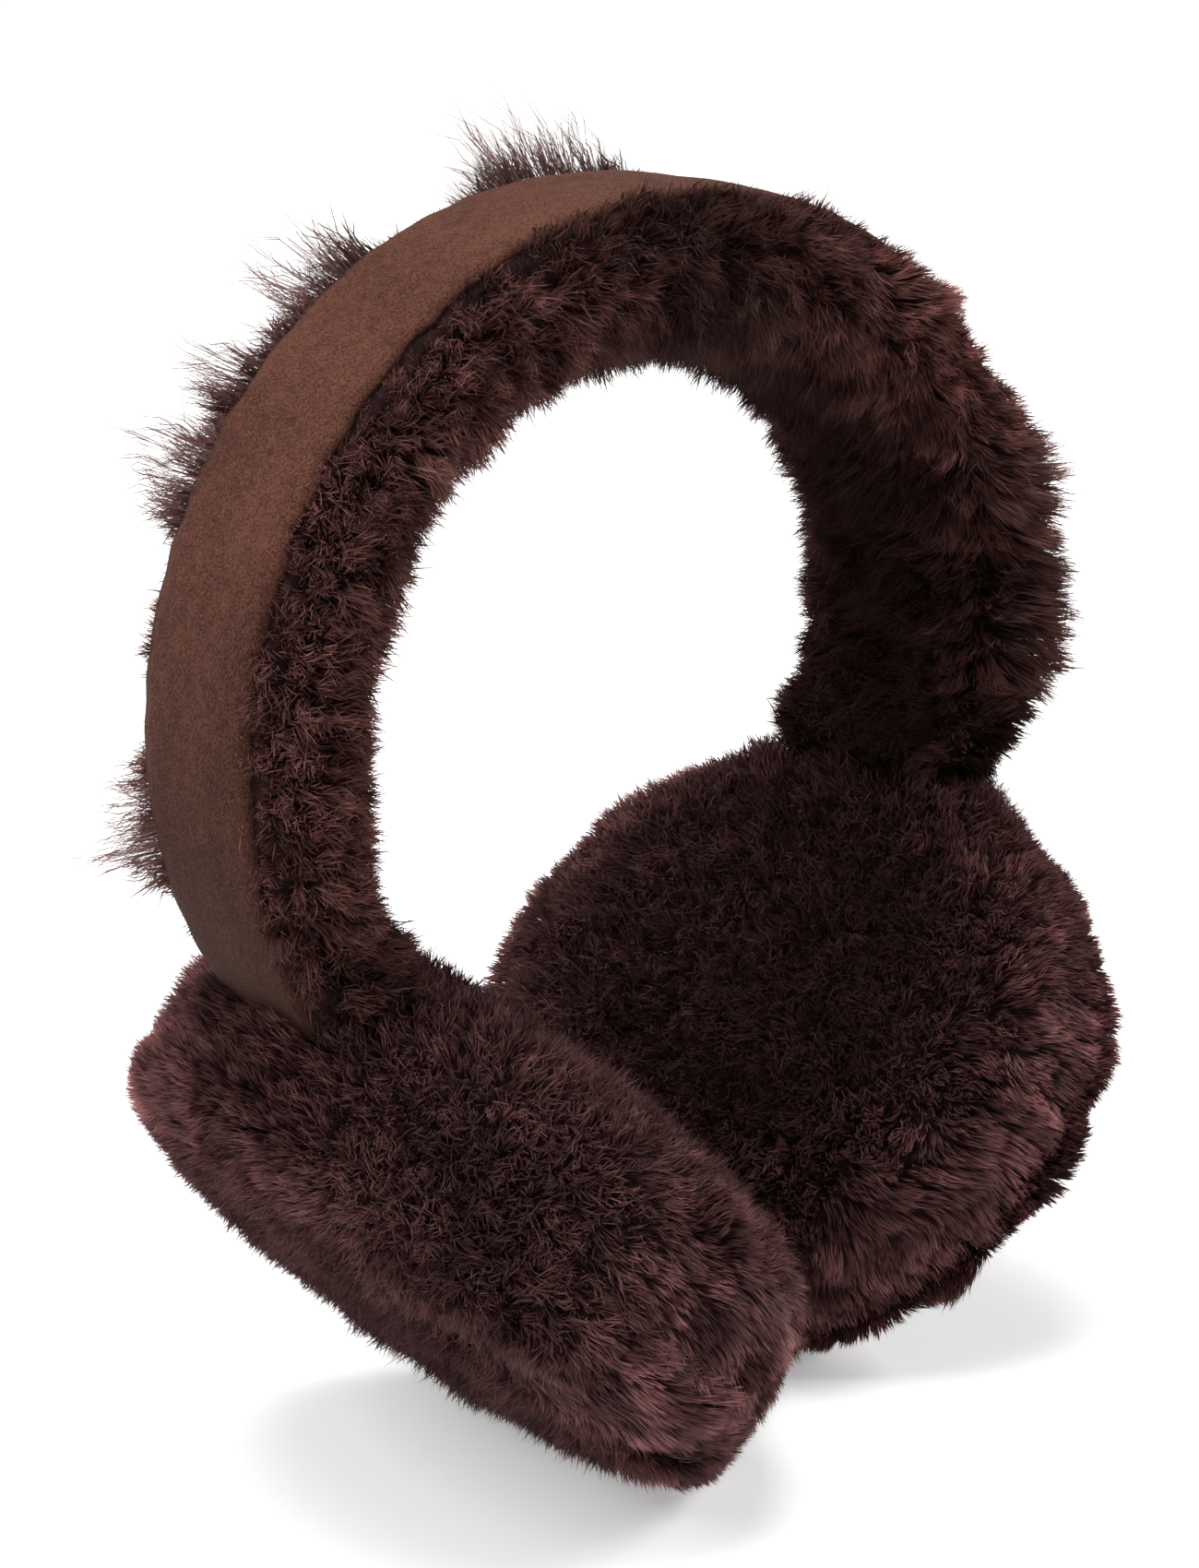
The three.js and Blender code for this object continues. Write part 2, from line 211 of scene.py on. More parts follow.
@dataclass(frozen=True)
class BandForm:
    """The bent band: its centre line, suede seat and the outer form of its pile. Sizes in mm, angles in degrees."""

    arm_length: float = 179.5
    arm_turn: float = 131.0
    arm_curl: float = 0.23
    arm_sway: float = 11.2
    left_twist: float = 10.8
    right_twist: float = 3.0
    root_length: float = 9.0
    root_taper: float = 0.62
    suede_width: float = 28.0
    suede_wall: float = 1.6
    suede_arch: float = 0.6
    suede_roll: float = 0.55
    overhang: float = 8.6
    depth: float = 26.0
    lip_height: float = 1.6
    squareness: float = 2.6
    arm_in_pad: float = 10.5
    lean: float = -1.109
    tufts: tuple[Tuft, ...] = (
        Tuft(Side.BACK, 0.04, 11.0, 24.0),
        Tuft(Side.BACK, -0.24, 9.0, 18.0),
        Tuft(Side.BACK, -0.36, 9.0, 14.0),
        Tuft(Side.BACK, -0.47, 10.0, 13.0),
        Tuft(Side.BACK, -0.79, 8.0, 20.0),
        Tuft(Side.FRONT, 0.34, 3.0, 22.0),
        Tuft(Side.FRONT, 0.6, 5.0, 26.0),
        Tuft(Side.FRONT, 0.78, 7.0, 38.0),
        Tuft(Side.INSIDE, 0.5, 2.4, 110.0),
    )

    def turn(self, share: np.ndarray) -> np.ndarray:
        """Angle in radians that the band has turned down at a share of the arm."""
        return math.radians(self.arm_turn) * ((1.0 - self.arm_curl) * share + self.arm_curl * share**3)

    def frames(self, share: np.ndarray) -> dict[str, np.ndarray]:
        """Find the centre line and its directions.

        Args:
            share: Places as shares of the arm.

        Returns:
            The points and the unit directions along, out and back, as rows, leaned as the pair rests.
        """
        steps = 48
        middle = (np.arange(steps) + 0.5) / steps
        turns = self.turn(share[:, None] * middle)
        step = self.arm_length * share / steps
        sway = self.arm_sway * share * np.abs(share)
        point = np.stack([np.cos(turns).sum(1) * step, sway, -np.sin(turns).sum(1) * step], 1)
        turn = self.turn(share)
        none = np.zeros_like(turn)
        along = np.stack([np.cos(turn), none, -np.sin(turn)], 1)
        upright = np.stack([np.sin(turn), none, np.cos(turn)], 1)
        across = np.stack([none, none + 1.0, none], 1)
        twist = np.radians(np.where(share < 0.0, self.left_twist, self.right_twist) * np.abs(share))[:, None]
        out = upright * np.cos(twist) + across * np.sin(twist)
        back = across * np.cos(twist) - upright * np.sin(twist)
        found = {"point": point, "along": along, "out": out, "back": back}
        return {name: rotated_about_y(rows, self.lean) for name, rows in found.items()}

    def suede_drop(self, across: np.ndarray) -> np.ndarray:
        """How far the suede's face lies under the centre line, at a share of its half width."""
        return self.suede_arch * across**2 + self.suede_roll * np.abs(across) ** 9

    def taper(self, share: np.ndarray) -> np.ndarray:
        """Width of the band as a share of its full width: it narrows inside the pad."""
        from_end = self.arm_length * (1.0 - np.abs(share)) + self.root_length
        sewn_in = self.root_length + self.arm_in_pad
        return self.root_taper + (1.0 - self.root_taper) * smoothstep(from_end, 0.0, sewn_in)

    @property
    def half_width(self) -> float:
        """Half the width over the pile."""
        return self.suede_width / 2.0 + self.overhang

    @property
    def half_depth(self) -> float:
        """Half the depth through the pile."""
        return self.depth / 2.0

    @property
    def lip(self) -> float:
        """Angle of the section at which the pile meets the suede's back edge, in radians."""
        return math.acos((self.suede_width / 2.0 / self.half_width) ** (self.squareness / 2.0))

    def tuft_reach(self, share: np.ndarray, angle: np.ndarray, sides: tuple[Side, ...] = tuple(Side)) -> np.ndarray:
        """Find the extra height of the tufts over the pile's form.

        Args:
            share: Places as shares of the arm.
            angle: Angles of the section.
            sides: The sides whose tufts count.

        Returns:
            The heights in mm.
        """
        reach = np.zeros_like(share)
        for tuft in self.tufts:
            if tuft.side not in sides:
                continue
            distance = (share - tuft.at) * self.arm_length
            facing = np.maximum(0.0, np.cos(angle - math.radians(tuft.side.value)))
            reach += tuft.reach * np.exp(-((distance / (tuft.width / 2.0)) ** 2)) * facing**4
        return reach


@dataclass(frozen=True)
class Ear:
    """How one pad hangs on its arm.

    Attributes:
        name: Which ear it covers.
        end: -1 for the left arm's end and 1 for the right one.
        lean: Degrees that it leans out.
        turn: Degrees that its ear side turns to the front.
        forward: How far it stands forward, in mm.
        plump: Its size as a share of the common one.
        whorl: Where its fur parts, as degrees round the rim from the pad's foot toward the back.
    """

    name: str
    end: int
    lean: float
    turn: float
    forward: float
    plump: float
    whorl: float


@dataclass(frozen=True)
class PadForm:
    """One ear pad: two fur discs sewn together round the rim. Sizes in mm."""

    ear: Ear
    radius: float = 54.2
    oval: float = 1.065
    outer_depth: float = 18.6
    inner_depth: float = 31.6
    squareness: float = 3.2
    seam_outward: float = 5.8

    def axes(self, band: BandForm) -> dict[str, np.ndarray]:
        """Find the pad's middle and its directions.

        Args:
            band: The band that it hangs on.

        Returns:
            The centre and the unit directions radial, outer and back.
        """
        arm = {name: rows[0] for name, rows in band.frames(np.array([float(self.ear.end)])).items()}
        down = arm["along"] * self.ear.end
        lean = -math.radians(self.ear.lean)
        turn = -math.radians(self.ear.turn)
        radial = down * math.cos(lean) + arm["out"] * math.sin(lean)
        facing = arm["out"] * math.cos(lean) - down * math.sin(lean)
        back = arm["back"] * math.cos(turn) + facing * math.sin(turn)
        outer = facing * math.cos(turn) - arm["back"] * math.sin(turn)
        reach = self.radius * self.ear.plump - band.arm_in_pad
        centre = arm["point"] + radial * reach + outer * self.seam_outward - back * self.ear.forward
        return {"centre": centre, "radial": radial, "outer": outer, "back": back}


@dataclass(frozen=True)
class Coat:
    """A finish of strands: colours from root to tip and how the light plays on them.

    Attributes:
        name: The material's name.
        root: Linear colour at the skin. Its darkness against the tip is partly the fibres' own paler tips and partly
            painted shade deep in the pile.
        shaft: Linear colour halfway up.
        tip: Linear colour at the tip.
        lit_through: Linear colour of the thin wisps of the tufts: paler, as painted light shining through them.
        sheen: Weight of the soft rim light on the fur.
    """

    name: str
    root: Colour
    shaft: Colour
    tip: Colour
    lit_through: Colour = (0.25, 0.142, 0.130)
    sheen: float = 0.08

    def material(self) -> bpy.types.Material:
        """Make the strands' material, which reads their own colours."""
        values = {
            "Roughness": 0.62,
            "Specular IOR Level": 0.09,
            "Sheen Weight": self.sheen,
            "Sheen Roughness": 0.45,
            "Sheen Tint": (0.6, 0.36, 0.36, 1.0),
        }
        material, shader = new_material(self.name, values)
        tree = material.node_tree
        colour = add_node(tree, "ShaderNodeVertexColor", {}, layer_name=STRAND_COLOUR)
        tree.links.new(colour.outputs["Color"], shader.inputs["Base Color"])
        return material


@dataclass(frozen=True)
class Undercoat:
    """The dense wool under the strands, dark partly in its own colour and partly as painted shade deep in the pile."""

    name: str
    dark: Colour
    light: Colour

    def material(self) -> bpy.types.Material:
        """Make a matte wool with small darker partings."""
        material, shader = new_material(self.name, {"Roughness": 0.95, "Specular IOR Level": 0.1})
        tree = material.node_tree
        place = tree.nodes.new("ShaderNodeTexCoord")
        grain = add_node(tree, "ShaderNodeTexNoise", {"Scale": 420.0, "Detail": 6.0})
        ramp = add_ramp(tree, [(0.35, self.dark), (0.7, self.light)])
        tree.links.new(place.outputs["Object"], grain.inputs["Vector"])
        tree.links.new(grain.outputs["Fac"], ramp.inputs["Fac"])
        tree.links.new(ramp.outputs["Color"], shader.inputs["Base Color"])
        add_bump(tree, grain.outputs["Fac"], strength=0.7, depth=0.0008)
        return material


@dataclass(frozen=True)
class Suede:
    """Brushed suede: a fine nap with soft darker and lighter patches where it was stroked.

    Attributes:
        name: The material's name.
        dark: Linear colour of the brushed-in patches.
        plain: Linear colour of most of the suede.
        light: Linear colour of the raised nap.
        levels: Heights of the grain at which the three colours lie.
        layers: Scale, detail, roughness and weight of the strokes, the nap and the mottle.
        shaded: Height in metres and share of the colour, at the dark lower end and above it: wear together with
            painted shade where the suede runs down into the pads.
    """

    name: str = "chocolate suede"
    dark: Colour = (0.028, 0.0102, 0.0066)
    plain: Colour = (0.060, 0.0218, 0.0142)
    light: Colour = (0.103, 0.0400, 0.0268)
    levels: tuple[float, float, float] = (0.72, 0.86, 1.0)
    layers: tuple[tuple[float, float, float, float], ...] = (
        (38.0, 2.0, 0.5, 0.25),
        (2300.0, 3.0, 0.7, 1.2),
        (420.0, 4.0, 0.6, 0.3),
    )
    shaded: tuple[Zone, Zone] = ((0.08, 0.36), (0.17, 1.0))

    def material(self) -> bpy.types.Material:
        """Make the suede from broad strokes, a mottle of a few mm and a nap of a fifth of a mm."""
        values = {
            "Roughness": 0.92,
            "Specular IOR Level": 0.08,
            "Sheen Weight": 0.04,
            "Sheen Roughness": 0.6,
            "Sheen Tint": (0.75, 0.5, 0.42, 1.0),
        }
        material, shader = new_material(self.name, values)
        tree = material.node_tree
        links = tree.links
        place = tree.nodes.new("ShaderNodeTexCoord").outputs["Object"]
        grain = None
        for scale, detail, roughness, weight in self.layers:
            noise = add_node(tree, "ShaderNodeTexNoise", {"Scale": scale, "Detail": detail, "Roughness": roughness})
            links.new(place, noise.inputs["Vector"])
            layer = add_node(tree, "ShaderNodeMath", {1: weight, 2: 0.0}, operation="MULTIPLY_ADD")
            links.new(noise.outputs["Fac"], layer.inputs[0])
            if grain:
                links.new(grain, layer.inputs[2])
            grain = layer.outputs[0]
        ramp = add_ramp(tree, list(zip(self.levels, (self.dark, self.plain, self.light))))
        links.new(grain, ramp.inputs["Fac"])
        # Wear together with painted shade: the colour darkens toward the suede's lower ends, where it runs into the
        # pads.
        split = tree.nodes.new("ShaderNodeSeparateXYZ")
        links.new(place, split.inputs[0])
        (low, dimmed), (high, full) = self.shaded
        height = {"From Min": low, "From Max": high, "To Min": dimmed, "To Max": full}
        wear_and_shade = add_node(tree, "ShaderNodeMapRange", height)
        links.new(split.outputs["Z"], wear_and_shade.inputs["Value"])
        shade = add_node(tree, "ShaderNodeVectorMath", {}, operation="SCALE")
        links.new(ramp.outputs["Color"], shade.inputs[0])
        links.new(wear_and_shade.outputs["Result"], shade.inputs["Scale"])
        links.new(shade.outputs["Vector"], shader.inputs["Base Color"])
        add_bump(tree, grain, strength=0.55, depth=0.0002)
        return material


class Hide:
    """A pile surface on flat hide coordinates in mm, which the band and each disc lay out in their own way."""

    def place(self, flat: np.ndarray, height: np.ndarray) -> np.ndarray:
        """Find the points that lie a height above the pile's outer form."""
        raise NotImplementedError

    def roots(self, rng: np.random.Generator, count: int) -> np.ndarray:
        """Scatter roots evenly over the hide."""
        raise NotImplementedError

    def comb(self, flat: np.ndarray, points: np.ndarray, normals: np.ndarray) -> np.ndarray:
        """Find the direction in which the fur lies, as vectors of length up to about one."""
        raise NotImplementedError

    def rise(self, flat: np.ndarray) -> np.ndarray:
        """Find how far the tips stand over the outer form, in mm."""
        raise NotImplementedError

    def tuft(self, flat: np.ndarray) -> np.ndarray:
        """Find how much further the longest wisps of a tuft reach, in mm."""
        return np.zeros(len(flat))

    def frizz(self, flat: np.ndarray, points: np.ndarray) -> np.ndarray:
        """Find how much the fur stands in short curls, at 1, or lies in streaks, at 0."""
        raise NotImplementedError

    def painted_light_and_shade(self, flat: np.ndarray) -> np.ndarray:
        """Find the light and shade painted on the tips: over 1 where light is painted on, under 1 where shade is
        painted in.
        """
        raise NotImplementedError

    def hidden(self, flat: np.ndarray, roots: np.ndarray, tips: np.ndarray) -> np.ndarray:
        """Find the strands that would grow inside a neighbour."""
        raise NotImplementedError


@dataclass(frozen=True)
class BandFur:
    """How the band's fur lies and swells from place to place, and where light and shade are painted on it.

    Lengths are in mm. Places along the band count from the crown toward the right pad. A zone is the pair of
    places, distances or tuft heights between which an effect comes in.

    Attributes:
        tuck: Angle by which the roots reach in under the suede, in radians.
        outward: How strongly the fur lies away from the middle of the inside, and how soon it turns there.
        swirl: How strongly it is tousled round the band, and the size of the swirls.
        to_pads: How strongly it lies toward the pads, and the distance over which that comes in.
        drift: How strongly it is tousled along the band, and the size of the swirls.
        tuft_lean: How strongly the back tufts lean, for each mm of their height.
        edge_zone: Distances from the suede beyond which the fur is tousled.
        calm: Share of the tousling that the tufts lack.
        calm_zone: Zone of it.
        hug: How close the pile draws to the suede's back edge, and the section's angle in degrees there.
        hug_zone: Tuft heights between which the hug is let go.
        hug_right: Share of the hug that the right arm lacks.
        right_top: Zone in which it does.
        swell: Swell of the inside all along, and further at the crown.
        crown: Middle and width of the crown's swell.
        slim: How much slimmer the inside is at the arms' roots.
        slim_zone: Zone of it, to either side.
        wander: How far the tips wander in and out, and the size of the waves.
        tufts: Shares of the back, front and inside tufts' height that the wisps or the whole pile gain.
        fringe: Extra reach of the right arm's front fringe, its middle and width.
        frizz: How curly the fur is, and how much less on the right arm's front.
        right_arm: Zone in which the right arm begins.
        inside_dark: Painted shade deep inside the band: share of the tips' colour lost, and further on the right arm.
        crown_dark: Painted shade near the crown: share lost, its middle and width.
        root_dark: Painted shade at the arms' roots, where they go into the pads: share lost.
        root_zone: Zone of it, to either side.
        front_light: Painted light on the right arm's front: share gained.
        front_end: Zone in which the front's painted light ends.
        in_pad: Depth in a pad beyond which no tip may lie.
        by_suede: Room that strands leave at the suede's edges and under it.
    """

    tuck: float = 0.16
    outward: Zone = (0.6, 2.2)
    swirl: Zone = (0.6, 17.0)
    to_pads: Zone = (0.3, 40.0)
    drift: Zone = (0.6, 19.0)
    tuft_lean: float = 0.16
    edge_zone: Zone = (3.0, 12.0)
    calm: float = 0.7
    calm_zone: Zone = (0.5, 4.0)
    hug: Zone = (3.2, 20.0)
    hug_zone: Zone = (0.3, 3.0)
    hug_right: float = 0.8
    right_top: Zone = (0.0, 45.0)
    swell: Zone = (1.2, 4.2)
    crown: Zone = (4.0, 52.0)
    slim: float = 3.4
    slim_zone: Zone = (132.0, 166.0)
    wander: Zone = (1.1, 15.0)
    tufts: tuple[float, float, float, float] = (2.35, 0.8, 0.9, 1.5)
    fringe: tuple[float, float, float] = (3.5, 112.0, 24.0)
    frizz: Zone = (0.88, 0.4)
    right_arm: Zone = (10.0, 60.0)
    inside_dark: Zone = (0.42, 0.45)
    crown_dark: tuple[float, float, float] = (0.68, 6.0, 34.0)
    root_dark: float = 0.5
    root_zone: Zone = (135.0, 172.0)
    front_light: float = 0.45
    front_end: Zone = (-125.0, -70.0)
    in_pad: float = 5.0
    by_suede: Zone = (0.5, 1.0)


class BandHide(Hide):
    """The band's pile, laid flat: x along the band from the crown, y round it from under the suede's back edge."""

    def __init__(self, form: BandForm, pads: list["PadHide"], fur: BandFur = BandFur()) -> None:
        """Tabulate the centre line and the section.

        Args:
            form: The band's form.
            pads: The discs at its ends, in whose middles nothing grows.
            fur: How its fur lies and swells, and where light and shade are painted on it.
        """
        self.fur = fur
        self.form = form
        self.pads = pads
        end = 1.0 + form.root_length / form.arm_length
        self.shares = np.linspace(-end, end, 1601)
        self.lines = form.frames(self.shares)
        first = form.lip + fur.tuck
        angles = first - (math.pi + 2.0 * first) * np.linspace(0.0, 1.0, 721)
        across, out = self.section(angles, np.ones_like(angles), np.zeros_like(angles))
        arc = np.concatenate([[0.0], np.cumsum(np.hypot(np.diff(across), np.diff(out)))])
        self.angles, self.arcs = angles, arc
        self.girth = float(arc[-1])
        self.offset = np.zeros(3)
        self.arm = 1

    def section(self, angle: np.ndarray, taper: np.ndarray, height: np.ndarray) -> tuple[np.ndarray, np.ndarray]:
        """Find a point of the section, as distances back and out from the centre line.

        Args:
            angle: Angle of the superellipse, counted from the back edge.
            taper: Share of the full width.
            height: Height over the form, in mm.

        Returns:
            The two distances in mm.
        """
        form = self.form
        power = 2.0 / form.squareness
        across = signed_power(np.cos(angle), power)
        upward = signed_power(np.sin(angle), power)
        normal = np.stack(
            [
                signed_power(across, form.squareness - 1.0) / form.half_width,
                signed_power(upward, form.squareness - 1.0) / form.half_depth,
            ],
            -1,
        )
        normal = unit(normal)
        middle = (form.lip_height - form.half_depth) * taper
        back = across * form.half_width * taper + normal[..., 0] * height
        out = middle + upward * form.half_depth * taper + normal[..., 1] * height
        return back, out

    def rows(self, share: np.ndarray) -> dict[str, np.ndarray]:
        """Read the centre line and its directions from the table."""
        return {
            name: np.stack([np.interp(share, self.shares, table[:, k]) for k in range(3)], 1)
            for name, table in self.lines.items()
        }

    def on_line(self, share: np.ndarray, back: np.ndarray, out: np.ndarray) -> np.ndarray:
        """Find points that lie back and out from the centre line."""
        rows = self.rows(share)
        return rows["point"] + rows["back"] * back[:, None] + rows["out"] * out[:, None] + self.offset

    def place(self, flat: np.ndarray, height: np.ndarray) -> np.ndarray:
        """Find the points that lie a height above the pile's outer form."""
        share = flat[:, 0] / self.form.arm_length
        angle = np.interp(flat[:, 1], self.arcs, self.angles)
        back, out = self.section(angle, self.form.taper(share), height)
        return self.on_line(share, back, out)

    def roots(self, rng: np.random.Generator, count: int) -> np.ndarray:
        """Scatter roots evenly over the hide."""
        reach = self.form.arm_length + 2.0
        return np.stack([rng.uniform(0.0, reach, count) * self.arm, rng.uniform(0.0, self.girth, count)], 1)

    def comb(self, flat: np.ndarray, points: np.ndarray, normals: np.ndarray) -> np.ndarray:
        """Lay the fur away from the suede's edges, a little toward the pads, and tousle it."""
        fur, level = self.fur, np.zeros(len(flat))
        away = self.place(flat + [0.0, STEP], level) - self.place(flat - [0.0, STEP], level)
        along = self.place(flat + [STEP, 0.0], level) - self.place(flat - [STEP, 0.0], level)
        middle = (flat[:, 1] / self.girth - 0.5) * 2.0
        from_edge = np.minimum(flat[:, 1], self.girth - flat[:, 1])
        strength, turn = fur.outward
        swirl, swirl_size = fur.swirl
        round_band = -strength * np.tanh(middle * turn)
        round_band += swirl * smoothstep(from_edge, *fur.edge_zone) * waves(flat, swirl_size, seed=11)
        to_pads, reach = fur.to_pads
        drift, drift_size = fur.drift
        along_band = to_pads * np.tanh(flat[:, 0] / reach) + drift * waves(flat, drift_size, seed=12)
        tuft = self.sides(flat, Side.BACK)
        along_band -= fur.tuft_lean * tuft
        calm = 1.0 - fur.calm * smoothstep(tuft + self.sides(flat, Side.FRONT), *fur.calm_zone)
        return unit(away) * (round_band * calm)[:, None] + unit(along) * along_band[:, None]

    def sides(self, flat: np.ndarray, *sides: Side) -> np.ndarray:
        """Find the height of the tufts on some sides, in mm."""
        share = flat[:, 0] / self.form.arm_length
        return self.form.tuft_reach(share, np.interp(flat[:, 1], self.arcs, self.angles), sides)

    def facing(self, flat: np.ndarray, degrees: float) -> np.ndarray:
        """Find how squarely the hide faces an angle of the section, from 0 to 1."""
        angle = np.interp(flat[:, 1], self.arcs, self.angles)
        return np.maximum(0.0, np.cos(angle - math.radians(degrees)))

    def rise(self, flat: np.ndarray) -> np.ndarray:
        """Swell on the front and inside, hug the suede's back edge, and wander by a mm or two."""
        fur, along = self.fur, flat[:, 0]
        depth, degrees = fur.hug
        hug = depth * self.facing(flat, degrees) ** 2
        hug *= 1.0 - smoothstep(self.sides(flat, Side.BACK), *fur.hug_zone)
        hug *= 1.0 - fur.hug_right * smoothstep(along, *fur.right_top)
        swell, at_crown = fur.swell
        middle, width = fur.crown
        inside = self.facing(flat, Side.INSIDE.value) ** 1.5 * (swell + at_crown * bell(along - middle, width))
        inside -= fur.slim * self.facing(flat, Side.INSIDE.value) * smoothstep(np.abs(along), *fur.slim_zone)
        _, _, front_share, inside_share = fur.tufts
        tufts = self.sides(flat, Side.FRONT) * front_share + self.sides(flat, Side.INSIDE) * inside_share
        wander, size = fur.wander
        return tufts + inside - hug + wander * waves(flat, size, seed=13)

    def tuft(self, flat: np.ndarray) -> np.ndarray:
        """Find how much further the longest wisps of the two edges reach, in mm."""
        back_share, front_share, _, _ = self.fur.tufts
        reach, middle, width = self.fur.fringe
        fringe = bell(flat[:, 0] - middle, width) * self.facing(flat, Side.FRONT.value) ** 4
        tufts = self.sides(flat, Side.BACK) * back_share + self.sides(flat, Side.FRONT) * front_share
        return tufts + reach * fringe

    def frizz(self, flat: np.ndarray, points: np.ndarray) -> np.ndarray:
        """Find how much the fur stands in short curls: all over, apart from the right arm's front fringe."""
        usual, less = self.fur.frizz
        return usual - less * smoothstep(flat[:, 0], *self.fur.right_arm) * self.facing(flat, Side.FRONT.value)

    def painted_light_and_shade(self, flat: np.ndarray) -> np.ndarray:
        """Paint shade on the pile deep inside the band, near the crown and at the arms' roots, and paint light on the
        right arm's front.
        """
        fur, along = self.fur, flat[:, 0]
        inside = self.facing(flat, Side.INSIDE.value) ** 2
        right = smoothstep(along, *fur.right_arm)
        darker, on_right = fur.inside_dark
        crown_dark, middle, width = fur.crown_dark
        # Painted shade deep inside, near the crown and at the arms' roots; painted light on the right arm's front.
        light = 1.0 - darker * inside - on_right * inside * right
        light *= 1.0 - crown_dark * bell(along - middle, width)
        light *= 1.0 - fur.root_dark * smoothstep(np.abs(along), *fur.root_zone)
        front = self.facing(flat, Side.FRONT.value) * right * smoothstep(-along, *fur.front_end)
        return light * (1.0 + fur.front_light * front)

    def hidden(self, flat: np.ndarray, roots: np.ndarray, tips: np.ndarray) -> np.ndarray:
        """Find the strands whose tips lie deep inside a pad, or come through the suede."""
        buried = np.zeros(len(roots), bool)
        for pad in self.pads:
            buried |= pad.holds(tips, self.fur.in_pad)
        beside, below = self.fur.by_suede
        share = flat[:, 0] / self.form.arm_length
        rows = self.rows(share)
        half = self.form.suede_width / 2.0 * self.form.taper(share)
        for point in (tips, (roots + tips) / 2.0):
            away = point - rows["point"] - self.offset
            across = np.abs((away * rows["back"]).sum(1))
            upward = (away * rows["out"]).sum(1)
            buried |= (across < half - beside) & (upward > -self.form.suede_wall - below)
        return buried

    def holds(self, points: np.ndarray, depth: float) -> np.ndarray:
        """Find the points that lie inside the band's pile by more than a depth, in slices near its ends."""
        inside = np.zeros(len(points), bool)
        form = self.form
        first, slices, half_slice = 0.86, 22, 1.2
        for end in (-1.0, 1.0):
            for share in np.linspace(first, 1.0 + form.root_length / form.arm_length, slices) * end:
                rows = {name: rows[0] for name, rows in form.frames(np.array([share])).items()}
                away = points - (rows["point"] + self.offset)
                taper = float(form.taper(np.array([share]))[0])
                middle = (form.lip_height - form.half_depth) * taper
                across = (away @ rows["back"]) / max(form.half_width * taper - depth, 1.0)
                upward = (away @ rows["out"] - middle) / max(form.half_depth * taper - depth, 1.0)
                near = np.abs(away @ rows["along"]) < half_slice
                inside |= near & (np.abs(across) ** form.squareness + np.abs(upward) ** form.squareness < 1.0)
        return inside


@dataclass(frozen=True)
class PadFur:
    """How a disc's fur lies and swells from place to place, and where light and shade are painted on it.

    Lengths are in mm. On the face, places count as shares of the way from its middle to the seam. A zone is the
    pair of places, distances or heights over the floor between which an effect comes in.

    Attributes:
        whorl: How strongly the fur lies away from the whorl, and how far that reaches.
        whorl_zone: Distances from the whorl in which it comes in.
        spin: How strongly the fur is tousled round the face, and the size of the swirls.
        cross: How strongly it is tousled across, and the size of the swirls.
        free_zone: Distances from the seam beyond which it is tousled.
        outward: How strongly it lies toward the seam, and how much less near the whorl.
        outward_zone: Zone of it on the face.
        flow: How far it lies over at all, and further on the low rim.
        flow_rim: Zone of the low rim on the face.
        flow_low: Zone of it over the floor.
        frizz: How curly the fur is, and how much less in the streaks on the low rim.
        streak_rim: Zone of the streaks on the face.
        streak_low: Zone of them over the floor.
        streak_zone: Distances from the whorl beyond which they lie.
        painted_light_and_shade: How pale the middle of the face is, held down as painted shade, and how much paler
            toward the seam, as painted rim light.
        painted_rim_light: Zone of the painted rim light.
        whorl_dark: Painted shade round the whorl: share lost, and how far that reaches.
        arm_dark: Painted shade under the arm's root: share lost, and how far that reaches.
        foot_dark: Painted shade at the foot, near the floor: share lost.
        foot_zone: Zone of it over the floor.
        groove: How deep the tips sink at the seam, and how wide.
        wander: How far the tips wander in and out, and the size of the waves.
        by_arm: How high the fur stands round the arm, and how far that reaches.
        in_arm: Depth in the arm beyond which no strand may lie.
    """

    whorl: Zone = (0.9, 50.0)
    whorl_zone: Zone = (3.0, 30.0)
    spin: Zone = (0.55, 22.0)
    cross: Zone = (0.35, 16.0)
    free_zone: Zone = (2.0, 16.0)
    outward: Zone = (0.5, 0.6)
    outward_zone: Zone = (0.05, 0.5)
    flow: Zone = (0.55, 1.0)
    flow_rim: Zone = (0.4, 0.85)
    flow_low: Zone = (80.0, 30.0)
    frizz: Zone = (0.95, 0.8)
    streak_rim: Zone = (0.4, 0.8)
    streak_low: Zone = (100.0, 55.0)
    streak_zone: Zone = (12.0, 38.0)
    painted_light_and_shade: Zone = (0.5, 0.8)
    painted_rim_light: Zone = (0.35, 0.85)
    whorl_dark: Zone = (0.65, 28.0)
    arm_dark: Zone = (0.45, 24.0)
    foot_dark: float = 0.28
    foot_zone: Zone = (50.0, 0.0)
    groove: Zone = (0.4, 2.5)
    wander: Zone = (0.8, 24.0)
    by_arm: Zone = (3.0, 17.0)
    in_arm: float = 1.5


